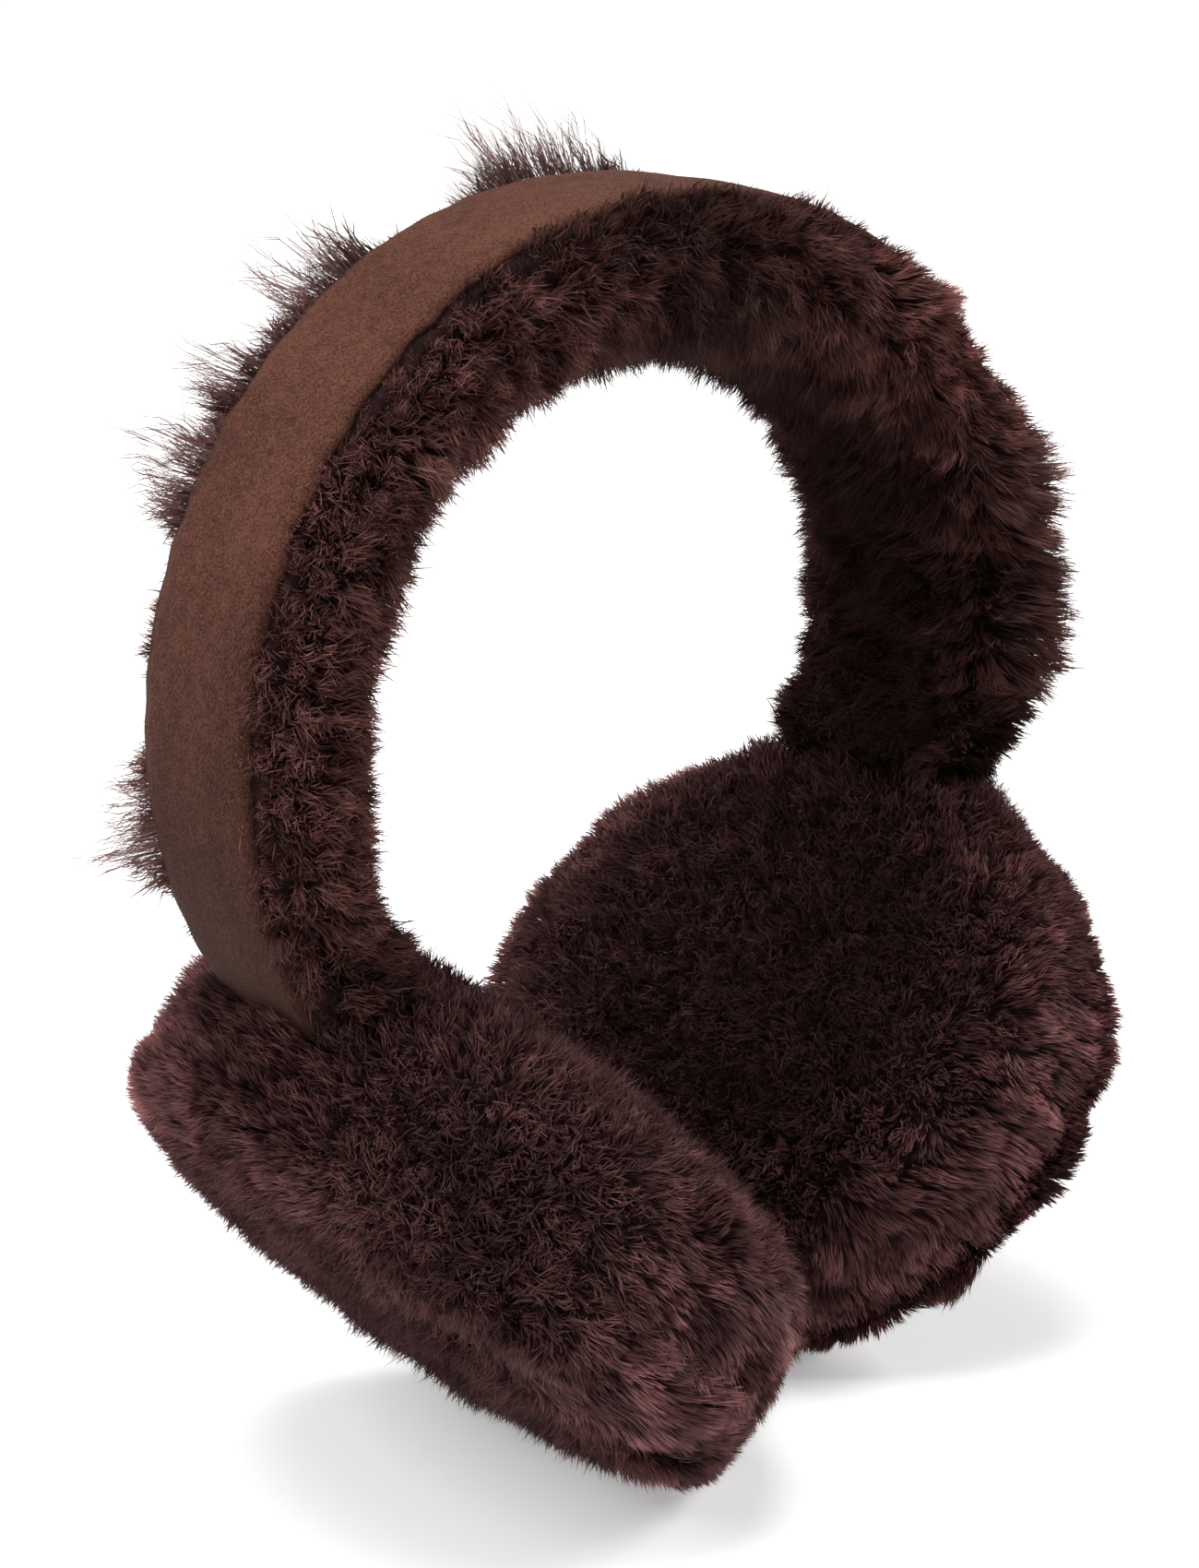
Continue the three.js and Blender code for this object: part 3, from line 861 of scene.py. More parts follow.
class PadHide(Hide):
    """One fur disc of a pad, laid flat about the middle of its face, out to the seam."""

    def __init__(
        self, form: PadForm, face: Face, band: BandForm, offset: np.ndarray, fur: PadFur = PadFur()
    ) -> None:
        """Tabulate the disc's profile.

        Args:
            form: The pad's form.
            face: Which of its discs this is.
            band: The band that it hangs on.
            offset: Move that sets the whole down on the floor, in mm.
            fur: How its fur lies and swells, and where light and shade are painted on it.
        """
        self.fur = fur
        self.form, self.face = form, face
        self.axes = form.axes(band)
        self.centre = self.axes["centre"] + offset
        self.band_hide: BandHide | None = None
        plump = form.ear.plump
        self.rim = form.radius * plump
        self.depth = (form.outer_depth if face is Face.OUTER else form.inner_depth) * plump
        rises = np.radians(np.linspace(90.0, 0.0, 721))
        radius, height = self.profile(rises, np.zeros_like(rises))
        self.rises = rises
        self.arcs = np.concatenate([[0.0], np.cumsum(np.hypot(np.diff(radius), np.diff(height)))])
        self.reach = float(self.arcs[-1])
        weight = np.concatenate([[0.0], np.cumsum((radius[1:] + radius[:-1]) / 2.0 * np.diff(self.arcs))])
        self.spread = weight / weight[-1]
        arm = band.frames(np.array([form.ear.end * (1.0 - band.arm_in_pad / band.arm_length)]))
        self.entry = arm["point"][0] + offset
        whorl = math.radians(form.ear.whorl)
        self.whorl = self.locate(np.array([self.rim]), np.array([0.0]), np.array([whorl]))[0]

    def profile(self, rise: np.ndarray, height: np.ndarray) -> tuple[np.ndarray, np.ndarray]:
        """Find the distance from the axis and from the seam at an angle of the section and a height over it."""
        power = 2.0 / self.form.squareness
        across = np.cos(rise).clip(0.0) ** power
        upward = np.sin(rise).clip(0.0) ** power
        back = self.form.squareness - 1.0
        normal = unit(np.stack([across**back / self.rim, upward**back / self.depth], -1))
        return across * self.rim + normal[..., 0] * height, upward * self.depth + normal[..., 1] * height

    def locate(self, radius: np.ndarray, height: np.ndarray, angle: np.ndarray) -> np.ndarray:
        """Find points from their distance to the axis and to the seam and their angle round the pad."""
        return (
            self.centre
            + self.axes["radial"] * (radius * np.cos(angle))[:, None]
            + self.axes["back"] * (radius * self.form.oval * np.sin(angle))[:, None]
            + self.axes["outer"] * (height * self.face.value)[:, None]
        )

    def place(self, flat: np.ndarray, height: np.ndarray) -> np.ndarray:
        """Find the points that lie a height above the pile's outer form."""
        angle = np.arctan2(flat[:, 1], flat[:, 0])
        arc = np.hypot(flat[:, 0], flat[:, 1])
        rise = np.interp(arc, self.arcs, self.rises)
        radius, up = self.profile(rise, height)
        least = 0.2  # mm from the seam's plane
        return self.locate(radius, np.maximum(up, least), angle)

    def roots(self, rng: np.random.Generator, count: int) -> np.ndarray:
        """Scatter roots evenly over the hide."""
        arc = np.interp(rng.uniform(0.0, 1.0, count), self.spread, self.arcs)
        angle = rng.uniform(-math.pi, math.pi, count)
        return np.stack([arc * np.cos(angle), arc * np.sin(angle)], 1)

    def outness(self, flat: np.ndarray) -> np.ndarray:
        """Find how far out a place lies, as a share of the way from the middle of the face to the seam."""
        return np.hypot(flat[:, 0], flat[:, 1]) / self.reach

    def comb(self, flat: np.ndarray, points: np.ndarray, normals: np.ndarray) -> np.ndarray:
        """Lay the fur away from the whorl on the rim and out from the middle of the face."""
        fur, level = self.fur, np.zeros(len(flat))
        away = points - self.whorl
        distance = np.linalg.norm(away, axis=1)
        away -= normals * (away * normals).sum(1, keepdims=True)
        arc = np.hypot(flat[:, 0], flat[:, 1])
        step = flat / np.maximum(arc, 1.0)[:, None] * STEP
        outward = unit(self.place(flat, level) - self.place(flat - step, level))
        from_whorl, whorl_reach = fur.whorl
        near = (bell(distance, whorl_reach) * smoothstep(distance, *fur.whorl_zone))[:, None]
        free = smoothstep(self.reach - arc, *fur.free_zone)
        (spin, spin_size), (cross, cross_size) = fur.spin, fur.cross
        swirl = (spin * free * waves(flat, spin_size, 21 + self.face.value))[:, None]
        tousle = (cross * free * waves(flat, cross_size, 23 + self.face.value))[:, None]
        push, less = fur.outward
        push = push * smoothstep(self.outness(flat), *fur.outward_zone)[:, None] * (1.0 - less * near)
        lie = unit(away) * (from_whorl * near) + outward * (push + tousle) + np.cross(normals, outward) * swirl
        low = smoothstep(points[:, 2], *fur.flow_low) * smoothstep(self.outness(flat), *fur.flow_rim)
        usual, further = fur.flow
        return lie * (usual + further * low)[:, None]

    def frizz(self, flat: np.ndarray, points: np.ndarray) -> np.ndarray:
        """Find how much the fur stands in short curls: all over, apart from the streaks on the low rim."""
        fur = self.fur
        streaks = smoothstep(self.outness(flat), *fur.streak_rim) * smoothstep(points[:, 2], *fur.streak_low)
        from_whorl = np.linalg.norm(points - self.whorl, axis=1)
        usual, less = fur.frizz
        return usual - less * streaks * smoothstep(from_whorl, *fur.streak_zone)

    def painted_light_and_shade(self, flat: np.ndarray) -> np.ndarray:
        """Paint light on the rim over a darker face, and paint shade round the whorl, under the arm's root and at the
        foot.
        """
        fur = self.fur
        points = self.place(flat, np.zeros(len(flat)))
        face, rim = fur.painted_light_and_shade
        # Painted rim light over a shaded face, then painted shade round the whorl, under the arm's root and at the
        # foot.
        light = face + rim * smoothstep(self.outness(flat), *fur.painted_rim_light)
        for middle, (dark, reach) in ((self.whorl, fur.whorl_dark), (self.entry, fur.arm_dark)):
            light *= 1.0 - dark * bell(np.linalg.norm(points - middle, axis=1), reach)
        return light * (1.0 - fur.foot_dark * smoothstep(points[:, 2], *fur.foot_zone))

    def rise(self, flat: np.ndarray) -> np.ndarray:
        """Sink the tips along the seam, lift them round the arm, and let the rest swell and dip."""
        (groove, groove_width), (wander, size), (by_arm, arm_reach) = self.fur.groove, self.fur.wander, self.fur.by_arm
        from_seam = self.reach - np.hypot(flat[:, 0], flat[:, 1])
        from_arm = np.linalg.norm(self.place(flat, np.zeros(len(flat))) - self.entry, axis=1)
        swell = wander * waves(flat, size, 31 + self.face.value)
        return swell + by_arm * bell(from_arm, arm_reach) - groove * bell(from_seam, groove_width)

    def hidden(self, flat: np.ndarray, roots: np.ndarray, tips: np.ndarray) -> np.ndarray:
        """Find the strands that would grow through the arm."""
        if self.band_hide is None:
            return np.zeros(len(roots), bool)
        depth = self.fur.in_arm
        return self.band_hide.holds(tips, depth) | self.band_hide.holds((roots + tips) / 2.0, depth)

    def holds(self, points: np.ndarray, depth: float) -> np.ndarray:
        """Find the points that lie inside the disc by more than a depth."""
        away = points - self.centre
        down = away @ self.axes["radial"] / (self.rim - depth)
        across = away @ self.axes["back"] / (self.rim * self.form.oval - depth)
        upward = away @ self.axes["outer"] * self.face.value / (self.depth - depth)
        power = self.form.squareness
        seam = -0.02
        return (upward > seam) & (np.hypot(down, across) ** power + np.abs(upward) ** power < 1.0)


@dataclass(frozen=True)
class Grooming:
    """How the strands of one hide grow. Sizes in mm.

    Attributes:
        strands: How many blades there are.
        root_depth: Depth of the skin under the outer form.
        lie: How far the tips lie along the fur's direction.
        wisp: Distance between the fine wisps.
        lock: Distance between the locks that the wisps lie in.
        gather: Share by which a blade's tip is drawn to its wisp, then the wisp to its lock.
        relief: How much lower the blades end between the locks.
        stray: Random wander of the tips.
        width: Width of a blade at its middle.
        curl: How far the blades curl aside where the fur is frizzy.
        lengths: The shortest lock's share of the usual lie, what the longest adds, and each blade's own spread.
        short: Share of the lie that frizzy fur lacks.
        lock_lift: Value of a lock that stands at the form's height, where its random value is 0 to 1.
        wisp_lift: Share of the relief by which the wisps differ.
        falls: How much lower blades end at their lock's edge, as a share of the relief, and at their wisp's, in mm.
        uneven: Spread of the single blades' heights.
        wisp_reach: Share of a tuft's reach that its shortest wisp has, and what the longest adds.
        lock_reach: The same for its locks.
        wisp_gather: Share of the gather to wisps that frizzy fur has, and what streaky fur adds.
        lock_gather: Share of the gather to locks that the loosest swirl has, and what the tightest adds.
        streak: Gather to locks that streaky fur adds.
        thin_zone: Reaches between which a tuft's wisps get thin.
        thin: Shares of the strands and the width that the thinnest wisps lose, and the share of their colour given
            over to painted light shining through them.
        thin_curl: How much more the thinnest wisps curl.
        belly: Where a blade's middle lies between root and tip, and how far it stands out, as shares.
        over_floor: Least height of a strand.
        splay: Spread of the way the blades' flat sides face.
        widths: Least and greatest width of a blade, as shares.
    """

    strands: int
    root_depth: float = 7.0
    lie: float = 5.0
    wisp: float = 1.8
    lock: float = 7.0
    gather: Zone = (0.62, 0.28)
    relief: float = 2.2
    stray: float = 0.9
    width: float = 0.25
    curl: float = 1.5
    lengths: tuple[float, float, float] = (0.75, 0.5, 0.12)
    short: float = 0.6
    lock_lift: float = 0.6
    wisp_lift: float = 0.6
    falls: Zone = (1.1, 0.6)
    uneven: float = 0.3
    wisp_reach: Zone = (0.1, 0.9)
    lock_reach: Zone = (0.55, 0.45)
    wisp_gather: Zone = (0.8, 0.5)
    lock_gather: Zone = (0.4, 0.6)
    streak: float = 0.12
    thin_zone: Zone = (1.0, 9.0)
    thin: tuple[float, float, float] = (0.42, 0.5, 0.8)
    thin_curl: float = 0.9
    belly: Zone = (0.55, 0.16)
    over_floor: float = 0.25
    splay: float = 0.35
    widths: Zone = (0.7, 1.3)


@dataclass(frozen=True)
class Shading:
    """How the strands' colours vary over a hide, as factors of the coat's colours.

    Attributes:
        plain: Factor of the darkest lock.
        lock: What the palest lock adds.
        wisp: Spread between wisps.
        broad: Strength of the broad patches, and their size in mm.
        fine: Strength and size in mm of the smaller patches.
        parting: Factor in the middle of a lock, and what it loses toward the partings, as painted shade in them.
        streak: Contrast between locks where the fur is streaky, and the lock's random value that stays as it is.
        blade: Least and greatest factor of single blades.
        shaft: Share of the factor that doesn't act halfway up.
        least: Least factor of all.
    """

    plain: float = 0.8
    lock: float = 0.35
    wisp: float = 0.25
    broad: Zone = (0.16, 30.0)
    fine: tuple[Zone, ...] = ((0.22, 10.0), (0.16, 4.5))
    parting: Zone = (1.08, 0.35)
    streak: Zone = (1.0, 0.45)
    blade: Zone = (0.76, 1.24)
    shaft: float = 0.3
    least: float = 0.15


def cell_hash(cells: np.ndarray, seed: int) -> np.ndarray:
    """Give each whole-numbered cell its own four repeatable values between 0 and 1."""
    mixed = cells[:, 0] * 374761393 + cells[:, 1] * 668265263 + seed * 362437
    mixed = (mixed ^ (mixed >> 13)) * 1274126177
    return np.stack([((mixed >> shift) & 1023) / 1023.0 for shift in (3, 9, 15, 21)], 1)


def nearest_cell(flat: np.ndarray, pitch: float, seed: int) -> tuple[np.ndarray, np.ndarray, np.ndarray]:
    """Find the nearest middle on a scattered grid.

    Args:
        flat: Places on the hide, in mm.
        pitch: Distance between middles.
        seed: Picks the scatter.

    Returns:
        The middles, the distance to them as a share of the pitch, and four random values each.
    """
    cell = np.floor(flat / pitch).astype(np.int64)
    best = np.full(len(flat), np.inf)
    middle = np.zeros_like(flat)
    values = np.zeros((len(flat), 4))
    for dx in (-1, 0, 1):
        for dy in (-1, 0, 1):
            near = cell + [dx, dy]
            random = cell_hash(near, seed)
            at = (near + 0.15 + 0.7 * random[:, :2]) * pitch
            distance = np.hypot(*(flat - at).T)
            closer = distance < best
            best = np.where(closer, distance, best)
            middle = np.where(closer[:, None], at, middle)
            values = np.where(closer[:, None], random, values)
    return middle, best / pitch, values


class Fleece:
    """Strands grown on a hide and joined into one mesh."""

    SHADING = Shading()

    def __init__(self, name: str, hide: Hide, grooming: Grooming, coat: Coat, seed: int) -> None:
        """Keep what the strands are grown from.

        Args:
            name: The piece's name.
            hide: The surface that they grow on.
            grooming: How they grow.
            coat: Their finish.
            seed: Picks their scatter.
        """
        self.name, self.hide, self.grooming, self.coat, self.seed = name, hide, grooming, coat, seed

    def normals(self, flat: np.ndarray) -> np.ndarray:
        """Find the directions straight out of the hide."""
        step = np.full(len(flat), STEP)
        return unit(self.hide.place(flat, step) - self.hide.place(flat, -step))

    def tips(self, flat: np.ndarray, height: np.ndarray, length: np.ndarray) -> np.ndarray:
        """Find where blades rooted at these places would end."""
        points = self.hide.place(flat, height)
        lie = self.hide.comb(flat, points, self.normals(flat))
        return points + lie * (self.grooming.lie * length)[:, None]

    def curls(self, wisp: np.ndarray, frizz: np.ndarray, rng: np.random.Generator) -> tuple[np.ndarray, np.ndarray]:
        """Find how far each blade's middle and tip curl aside, partly with its wisp and partly by itself.

        Args:
            wisp: Random values of the wisps, whose blades curl together.
            frizz: How curly the fur is.
            rng: Source of each blade's own part.

        Returns:
            The moves of the middles and of the tips, in mm.
        """
        turn, rise = 2.0 * math.pi * wisp[:, 0], 2.0 * wisp[:, 3] - 1.0
        flat = np.sqrt(1.0 - rise**2)
        shared = np.stack([flat * np.cos(turn), flat * np.sin(turn), rise], 1)
        own = rng.normal(0.0, 1.0, shared.shape)
        curl = self.grooming.curl * frizz[:, None]
        middle, tip = 0.25 * own - 0.45 * shared, 0.55 * own + 0.75 * shared
        return curl * middle, curl * tip

    def grow(self) -> tuple[np.ndarray, np.ndarray, np.ndarray]:
        """Grow the strands.

        Returns:
            The roots, middles and tips in rows of three points, the blades' half widths as vectors, and the
            colours of the three.
        """
        groom = self.grooming
        rng = np.random.default_rng(self.seed)
        flat = self.hide.roots(rng, groom.strands)
        wisp, wisp_distance, wisp_random = nearest_cell(flat, groom.wisp, self.seed + 1)
        lock, lock_distance, lock_random = nearest_cell(wisp, groom.lock, self.seed + 2)
        _, _, swirl_random = nearest_cell(lock, groom.lock * 2.6, self.seed + 3)
        root = self.hide.place(flat, np.full(len(flat), -groom.root_depth))
        normal = self.normals(flat)
        frizz = self.hide.frizz(flat, root)
        shortest, longer, spread = groom.lengths
        length = shortest + longer * lock_random[:, 2] + rng.normal(0.0, spread, len(flat))
        length *= 1.0 - groom.short * frizz
        lift = (lock_random[:, 3] - groom.lock_lift) * groom.relief
        lift += (wisp_random[:, 2] - 0.5) * groom.relief * groom.wisp_lift
        lock_fall, wisp_fall = groom.falls
        fall = groom.relief * lock_distance**2 * lock_fall + wisp_fall * wisp_distance**2
        (wisp_least, wisp_more), (lock_least, lock_more) = groom.wisp_reach, groom.lock_reach
        tall = self.hide.tuft(wisp) * (wisp_least + wisp_more * wisp_random[:, 1])
        tall *= lock_least + lock_more * lock_random[:, 1]
        height = self.hide.rise(flat) + lift - fall + rng.normal(0.0, groom.uneven, len(flat)) + tall

        own = self.tips(flat, height, length)
        of_wisp = self.tips(wisp, height, length)
        of_lock = self.tips(lock, height, length)
        streaky = 1.0 - frizz[:, None]
        (to_wisp, to_lock), (least, more), (loose, tight) = groom.gather, groom.wisp_gather, groom.lock_gather
        tip = own + (of_wisp - own) * (to_wisp * (least + more * streaky))
        tip += (of_lock - tip) * (to_lock * (loose + tight * swirl_random[:, :1]) + groom.streak * streaky)
        tip += rng.normal(0.0, groom.stray, tip.shape) * rng.uniform(0.1, 1.0, (len(flat), 1)) ** 2

        full, thinnest = groom.thin_zone
        thin = np.clip((tall - full) / (thinnest - full), 0.0, 1.0)
        fewer, narrower, lit_through = groom.thin
        middle_curl, tip_curl = self.curls(wisp_random, frizz * (1.0 + groom.thin_curl * thin), rng)
        along, out = groom.belly
        middle = root * (1.0 - along) + tip * along
        middle += normal * (out * np.linalg.norm(tip - root, axis=1, keepdims=True))
        middle, tip = middle + middle_curl, tip + tip_curl
        keep = ~self.hide.hidden(flat, root, tip) & (rng.uniform(0.0, 1.0, len(flat)) > fewer * thin)
        points = np.stack([root, middle, tip], 1)[keep]
        points[..., 2] = np.maximum(points[..., 2], groom.over_floor)

        blade = unit(points[:, 2] - points[:, 0])
        side = np.cross(blade, normal[keep])
        side += rng.normal(0.0, groom.splay, side.shape)
        side -= blade * (side * blade).sum(1, keepdims=True)
        half_width = groom.width / 2.0 * (1.0 - narrower * thin[keep]) * rng.uniform(*groom.widths, len(side))
        colours = self.colours(flat[keep], wisp_random[keep], lock_random[keep], lock_distance[keep], rng)
        # Painted light: the thin wisps are paled as if light shone through them.
        pale = (lit_through * thin[keep])[:, None, None]
        colours = colours * (1.0 - pale) + pale * np.array(self.coat.lit_through)
        return points, unit(side) * half_width[:, None], colours

    def colours(
        self,
        flat: np.ndarray,
        wisp: np.ndarray,
        lock: np.ndarray,
        lock_distance: np.ndarray,
        rng: np.random.Generator,
    ) -> np.ndarray:
        """Colour the strands from root to tip.

        Args:
            flat: Their places on the hide.
            wisp: Random values of their wisps.
            lock: Random values of their locks.
            lock_distance: Distance to the lock's middle, as a share of the pitch.
            rng: Source of the rest.

        Returns:
            Linear colours of root, middle and tip, as rows of three.
        """
        look = self.SHADING
        strength, size = look.broad
        shade = look.plain + look.lock * lock[:, 3] + look.wisp * (wisp[:, 3] - 0.5)
        shade += strength * waves(flat, size, self.seed + 5)
        # Painted shade: blades darken toward the partings between locks.
        middle, parting = look.parting
        shade *= middle - parting * lock_distance
        patches = [strength * waves(flat, size, self.seed + 6 + k) for k, (strength, size) in enumerate(look.fine)]
        shade *= 1.0 + sum(patches)
        streaky = 1.0 - self.hide.frizz(flat, self.hide.place(flat, np.zeros(len(flat))))
        contrast, even = look.streak
        shade *= 1.0 + contrast * (lock[:, 0] - even) * streaky
        # Each blade's own tone, times the light and shade painted on its hide.
        shade *= rng.uniform(*look.blade, len(flat)) * self.hide.painted_light_and_shade(flat)
        # Root to tip: the dark roots are partly painted shade deep in the pile, partly the fibres' own paler tips.
        shades = np.stack([np.ones_like(shade), look.shaft + (1.0 - look.shaft) * shade, shade], 1)
        levels = np.array([self.coat.root, self.coat.shaft, self.coat.tip])
        return np.clip(levels[None] * shades.clip(look.least)[..., None], 0.0, 1.0)

    def mesh(self) -> bpy.types.Object:
        """Join the strands into one mesh of blades, each with its own cell of the baking map."""
        points, side, colours = self.grow()
        count = len(points)
        blades = np.stack([points[:, 0], points[:, 1] - side, points[:, 1] + side, points[:, 2]], 1)
        pattern = np.array([[0, 2, 1], [1, 2, 3]])
        corners = (pattern[None] + 4 * np.arange(count)[:, None, None]).reshape(-1)
        mesh = bpy.data.meshes.new(self.name)
        mesh.vertices.add(4 * count)
        mesh.vertices.foreach_set("co", (blades.reshape(-1, 3) * MM).ravel())
        mesh.loops.add(len(corners))
        mesh.loops.foreach_set("vertex_index", corners)
        mesh.polygons.add(len(corners) // 3)
        mesh.polygons.foreach_set("loop_start", np.arange(0, len(corners), 3))
        mesh.polygons.foreach_set("use_smooth", np.ones(len(corners) // 3, bool))
        mesh.update(calc_edges=True)
        shade = np.ones((count, 4, 4))
        shade[..., :3] = colours[:, [0, 1, 1, 2]]
        layer = mesh.color_attributes.new(STRAND_COLOUR, "FLOAT_COLOR", "POINT")
        layer.data.foreach_set("color", shade.ravel())
        cells = math.ceil(math.sqrt(count))
        cell = np.arange(count)
        corner = np.stack([cell % cells, cell // cells], 1)[:, None]
        shape = np.array([[0.5, 0.08], [0.1, 0.5], [0.9, 0.5], [0.5, 0.92]])
        atlas = ((corner + shape[None]) / cells).reshape(-1, 2)
        baking = mesh.uv_layers.new(name="OFBake")
        baking.data.foreach_set("uv", atlas[corners].ravel())
        piece = bpy.data.objects.new(self.name, mesh)
        bpy.context.scene.collection.objects.link(piece)
        mesh.materials.append(self.coat.material())
        return piece


def linked(name: str, shape: bmesh.types.BMesh, material: bpy.types.Material) -> bpy.types.Object:
    """Turn a finished shape into a smooth object in the scene.

    Args:
        name: The piece's name.
        shape: Its bmesh, which is freed.
        material: Its finish.

    Returns:
        The object, at the origin.
    """
    for face in shape.faces:
        face.smooth = True
    mesh = bpy.data.meshes.new(name)
    shape.to_mesh(mesh)
    shape.free()
    mesh.materials.append(material)
    piece = bpy.data.objects.new(name, mesh)
    bpy.context.scene.collection.objects.link(piece)
    return piece


@dataclass
class SuedeStrip:
    """The bare suede side of the band.

    Attributes:
        hide: The band's hide, which it caps.
        rows: Steps along the band.
        columns: Steps across it.
        cut_wander: How far the cut edges wander, and the size of the waves, in mm.
        face_wander: The same for its face.
        finish: The suede.
    """

    hide: BandHide
    rows: int = 300
    columns: int = 12
    cut_wander: Zone = (0.25, 9.0)
    face_wander: Zone = (0.12, 24.0)
    finish: Suede = Suede()

    def build(self) -> bpy.types.Object:
        """Bend a flat grid along the band, arch it, roll its cut edges and give it its wall.

        Returns:
            The finished strip.
        """
        form = self.hide.form
        shape = bmesh.new()
        bmesh.ops.create_grid(shape, x_segments=self.columns, y_segments=self.rows, size=1.0)
        grid = np.array([vert.co[:2] for vert in shape.verts])
        share = grid[:, 1] * (1.0 + form.root_length / form.arm_length)
        across = grid[:, 0]
        spread = 40.0  # sets the two edges' waves apart
        along = np.stack([share * form.arm_length, across * spread], 1)
        (cut, cut_size), (face, face_size) = self.cut_wander, self.face_wander
        half = form.suede_width / 2.0 * form.taper(share) + cut * waves(along[:, :1], cut_size, seed=41)
        out = face * waves(along, face_size, seed=42) - form.suede_drop(across)
        points = self.hide.on_line(share, across * half, out) * MM
        for vert, point in zip(shape.verts, points):
            vert.co = Vector(point)
        bmesh.ops.recalc_face_normals(shape, faces=shape.faces[:])
        middle = min(shape.faces, key=lambda face: abs(face.calc_center_median().x))
        if middle.normal.z < 0.0:
            bmesh.ops.reverse_faces(shape, faces=shape.faces[:])
        bmesh.ops.solidify(shape, geom=shape.faces[:], thickness=form.suede_wall * MM)
        bmesh.ops.recalc_face_normals(shape, faces=shape.faces[:])
        return linked("suede_strip", shape, self.finish.material())


@dataclass
class BandPile:
    """The band's pile: a dark undercoat and two runs of strands, one for each arm.

    Attributes:
        hide: The band's hide.
        inset: Depth of the undercoat under the outer form, in mm.
        rows: Steps of the undercoat along the band.
        columns: Steps round it.
        sewn_in: Share of the arm's root that the undercoat reaches into.
        lumps: Height and size of its lumps, in mm.
        seat_depth: Its height in the suede, as a share of the suede's wall from the face.
        seat_zone: Heights of the section, as sines, between which it rises into the seat.
        grooming: How the strands grow.
        coat: Their finish.
        under: The undercoat's finish.
    """

    hide: BandHide
    inset: float = 5.5
    rows: int = 200
    columns: int = 48
    sewn_in: float = 0.6
    lumps: Zone = (0.8, 9.0)
    seat_depth: float = 0.6
    seat_zone: Zone = (0.1, 0.6)
    grooming: Grooming = Grooming(strands=88000, wisp=1.3, lock=5.0)
    coat: Coat = Coat("band pile", (0.007, 0.0027, 0.0025), (0.056, 0.0210, 0.0178), (0.225, 0.092, 0.080))
    under: Undercoat = Undercoat("band undercoat", (0.006, 0.0026, 0.0024), (0.024, 0.0095, 0.0085))

    def undercoat(self) -> bpy.types.Object:
        """Draw a ring out along the band, under the strands and up into the suede's seat, and close its ends."""
        form = self.hide.form
        shape = bmesh.new()
        ring = bmesh.ops.create_circle(shape, cap_ends=False, segments=self.columns, radius=1.0)["verts"]
        edges = list({edge for vert in ring for edge in vert.link_edges})
        rows = [ring]
        for _ in range(self.rows):
            grown = bmesh.ops.extrude_edge_only(shape, edges=edges)["geom"]
            edges = [item for item in grown if isinstance(item, bmesh.types.BMEdge)]
            rows.append([item for item in grown if isinstance(item, bmesh.types.BMVert)])
            edges = [edge for edge in edges if all(vert in set(rows[-1]) for vert in edge.verts)]
        reach = 1.0 + self.sewn_in * form.root_length / form.arm_length
        girth = 14.0  # usual radius of the section, in mm
        lump, size = self.lumps
        for row, verts in enumerate(rows):
            share = np.full(len(verts), reach * (-1.0 + 2.0 * row / self.rows))
            angle = np.array([math.atan2(vert.co.y, vert.co.x) for vert in verts])
            wool = np.stack([share * form.arm_length, girth * np.cos(angle), girth * np.sin(angle)], 1)
            height = lump * waves(wool, size, seed=51) - self.inset
            back, out = self.hide.section(angle, form.taper(share), height)
            width = np.abs(back) / (form.suede_width / 2.0 * form.taper(share))
            seat = -self.seat_depth * form.suede_wall - form.suede_drop(width)
            seated = smoothstep(np.sin(angle), *self.seat_zone)
            points = self.hide.on_line(share, back, out * (1.0 - seated) + seat * seated) * MM
            for vert, point in zip(verts, points):
                vert.co = Vector(point)
        bmesh.ops.holes_fill(shape, edges=shape.edges[:], sides=0)
        bmesh.ops.recalc_face_normals(shape, faces=shape.faces[:])
        return linked("band_undercoat", shape, self.under.material())

    def build(self) -> list[bpy.types.Object]:
        """Make the undercoat and the strands of both arms."""
        pieces = [self.undercoat()]
        for name, arm in (("left", -1), ("right", 1)):
            run = copy.copy(self.hide)
            run.arm = arm
            pieces.append(Fleece(f"band_pile_{name}", run, self.grooming, self.coat, 100 + arm).mesh())
        return pieces


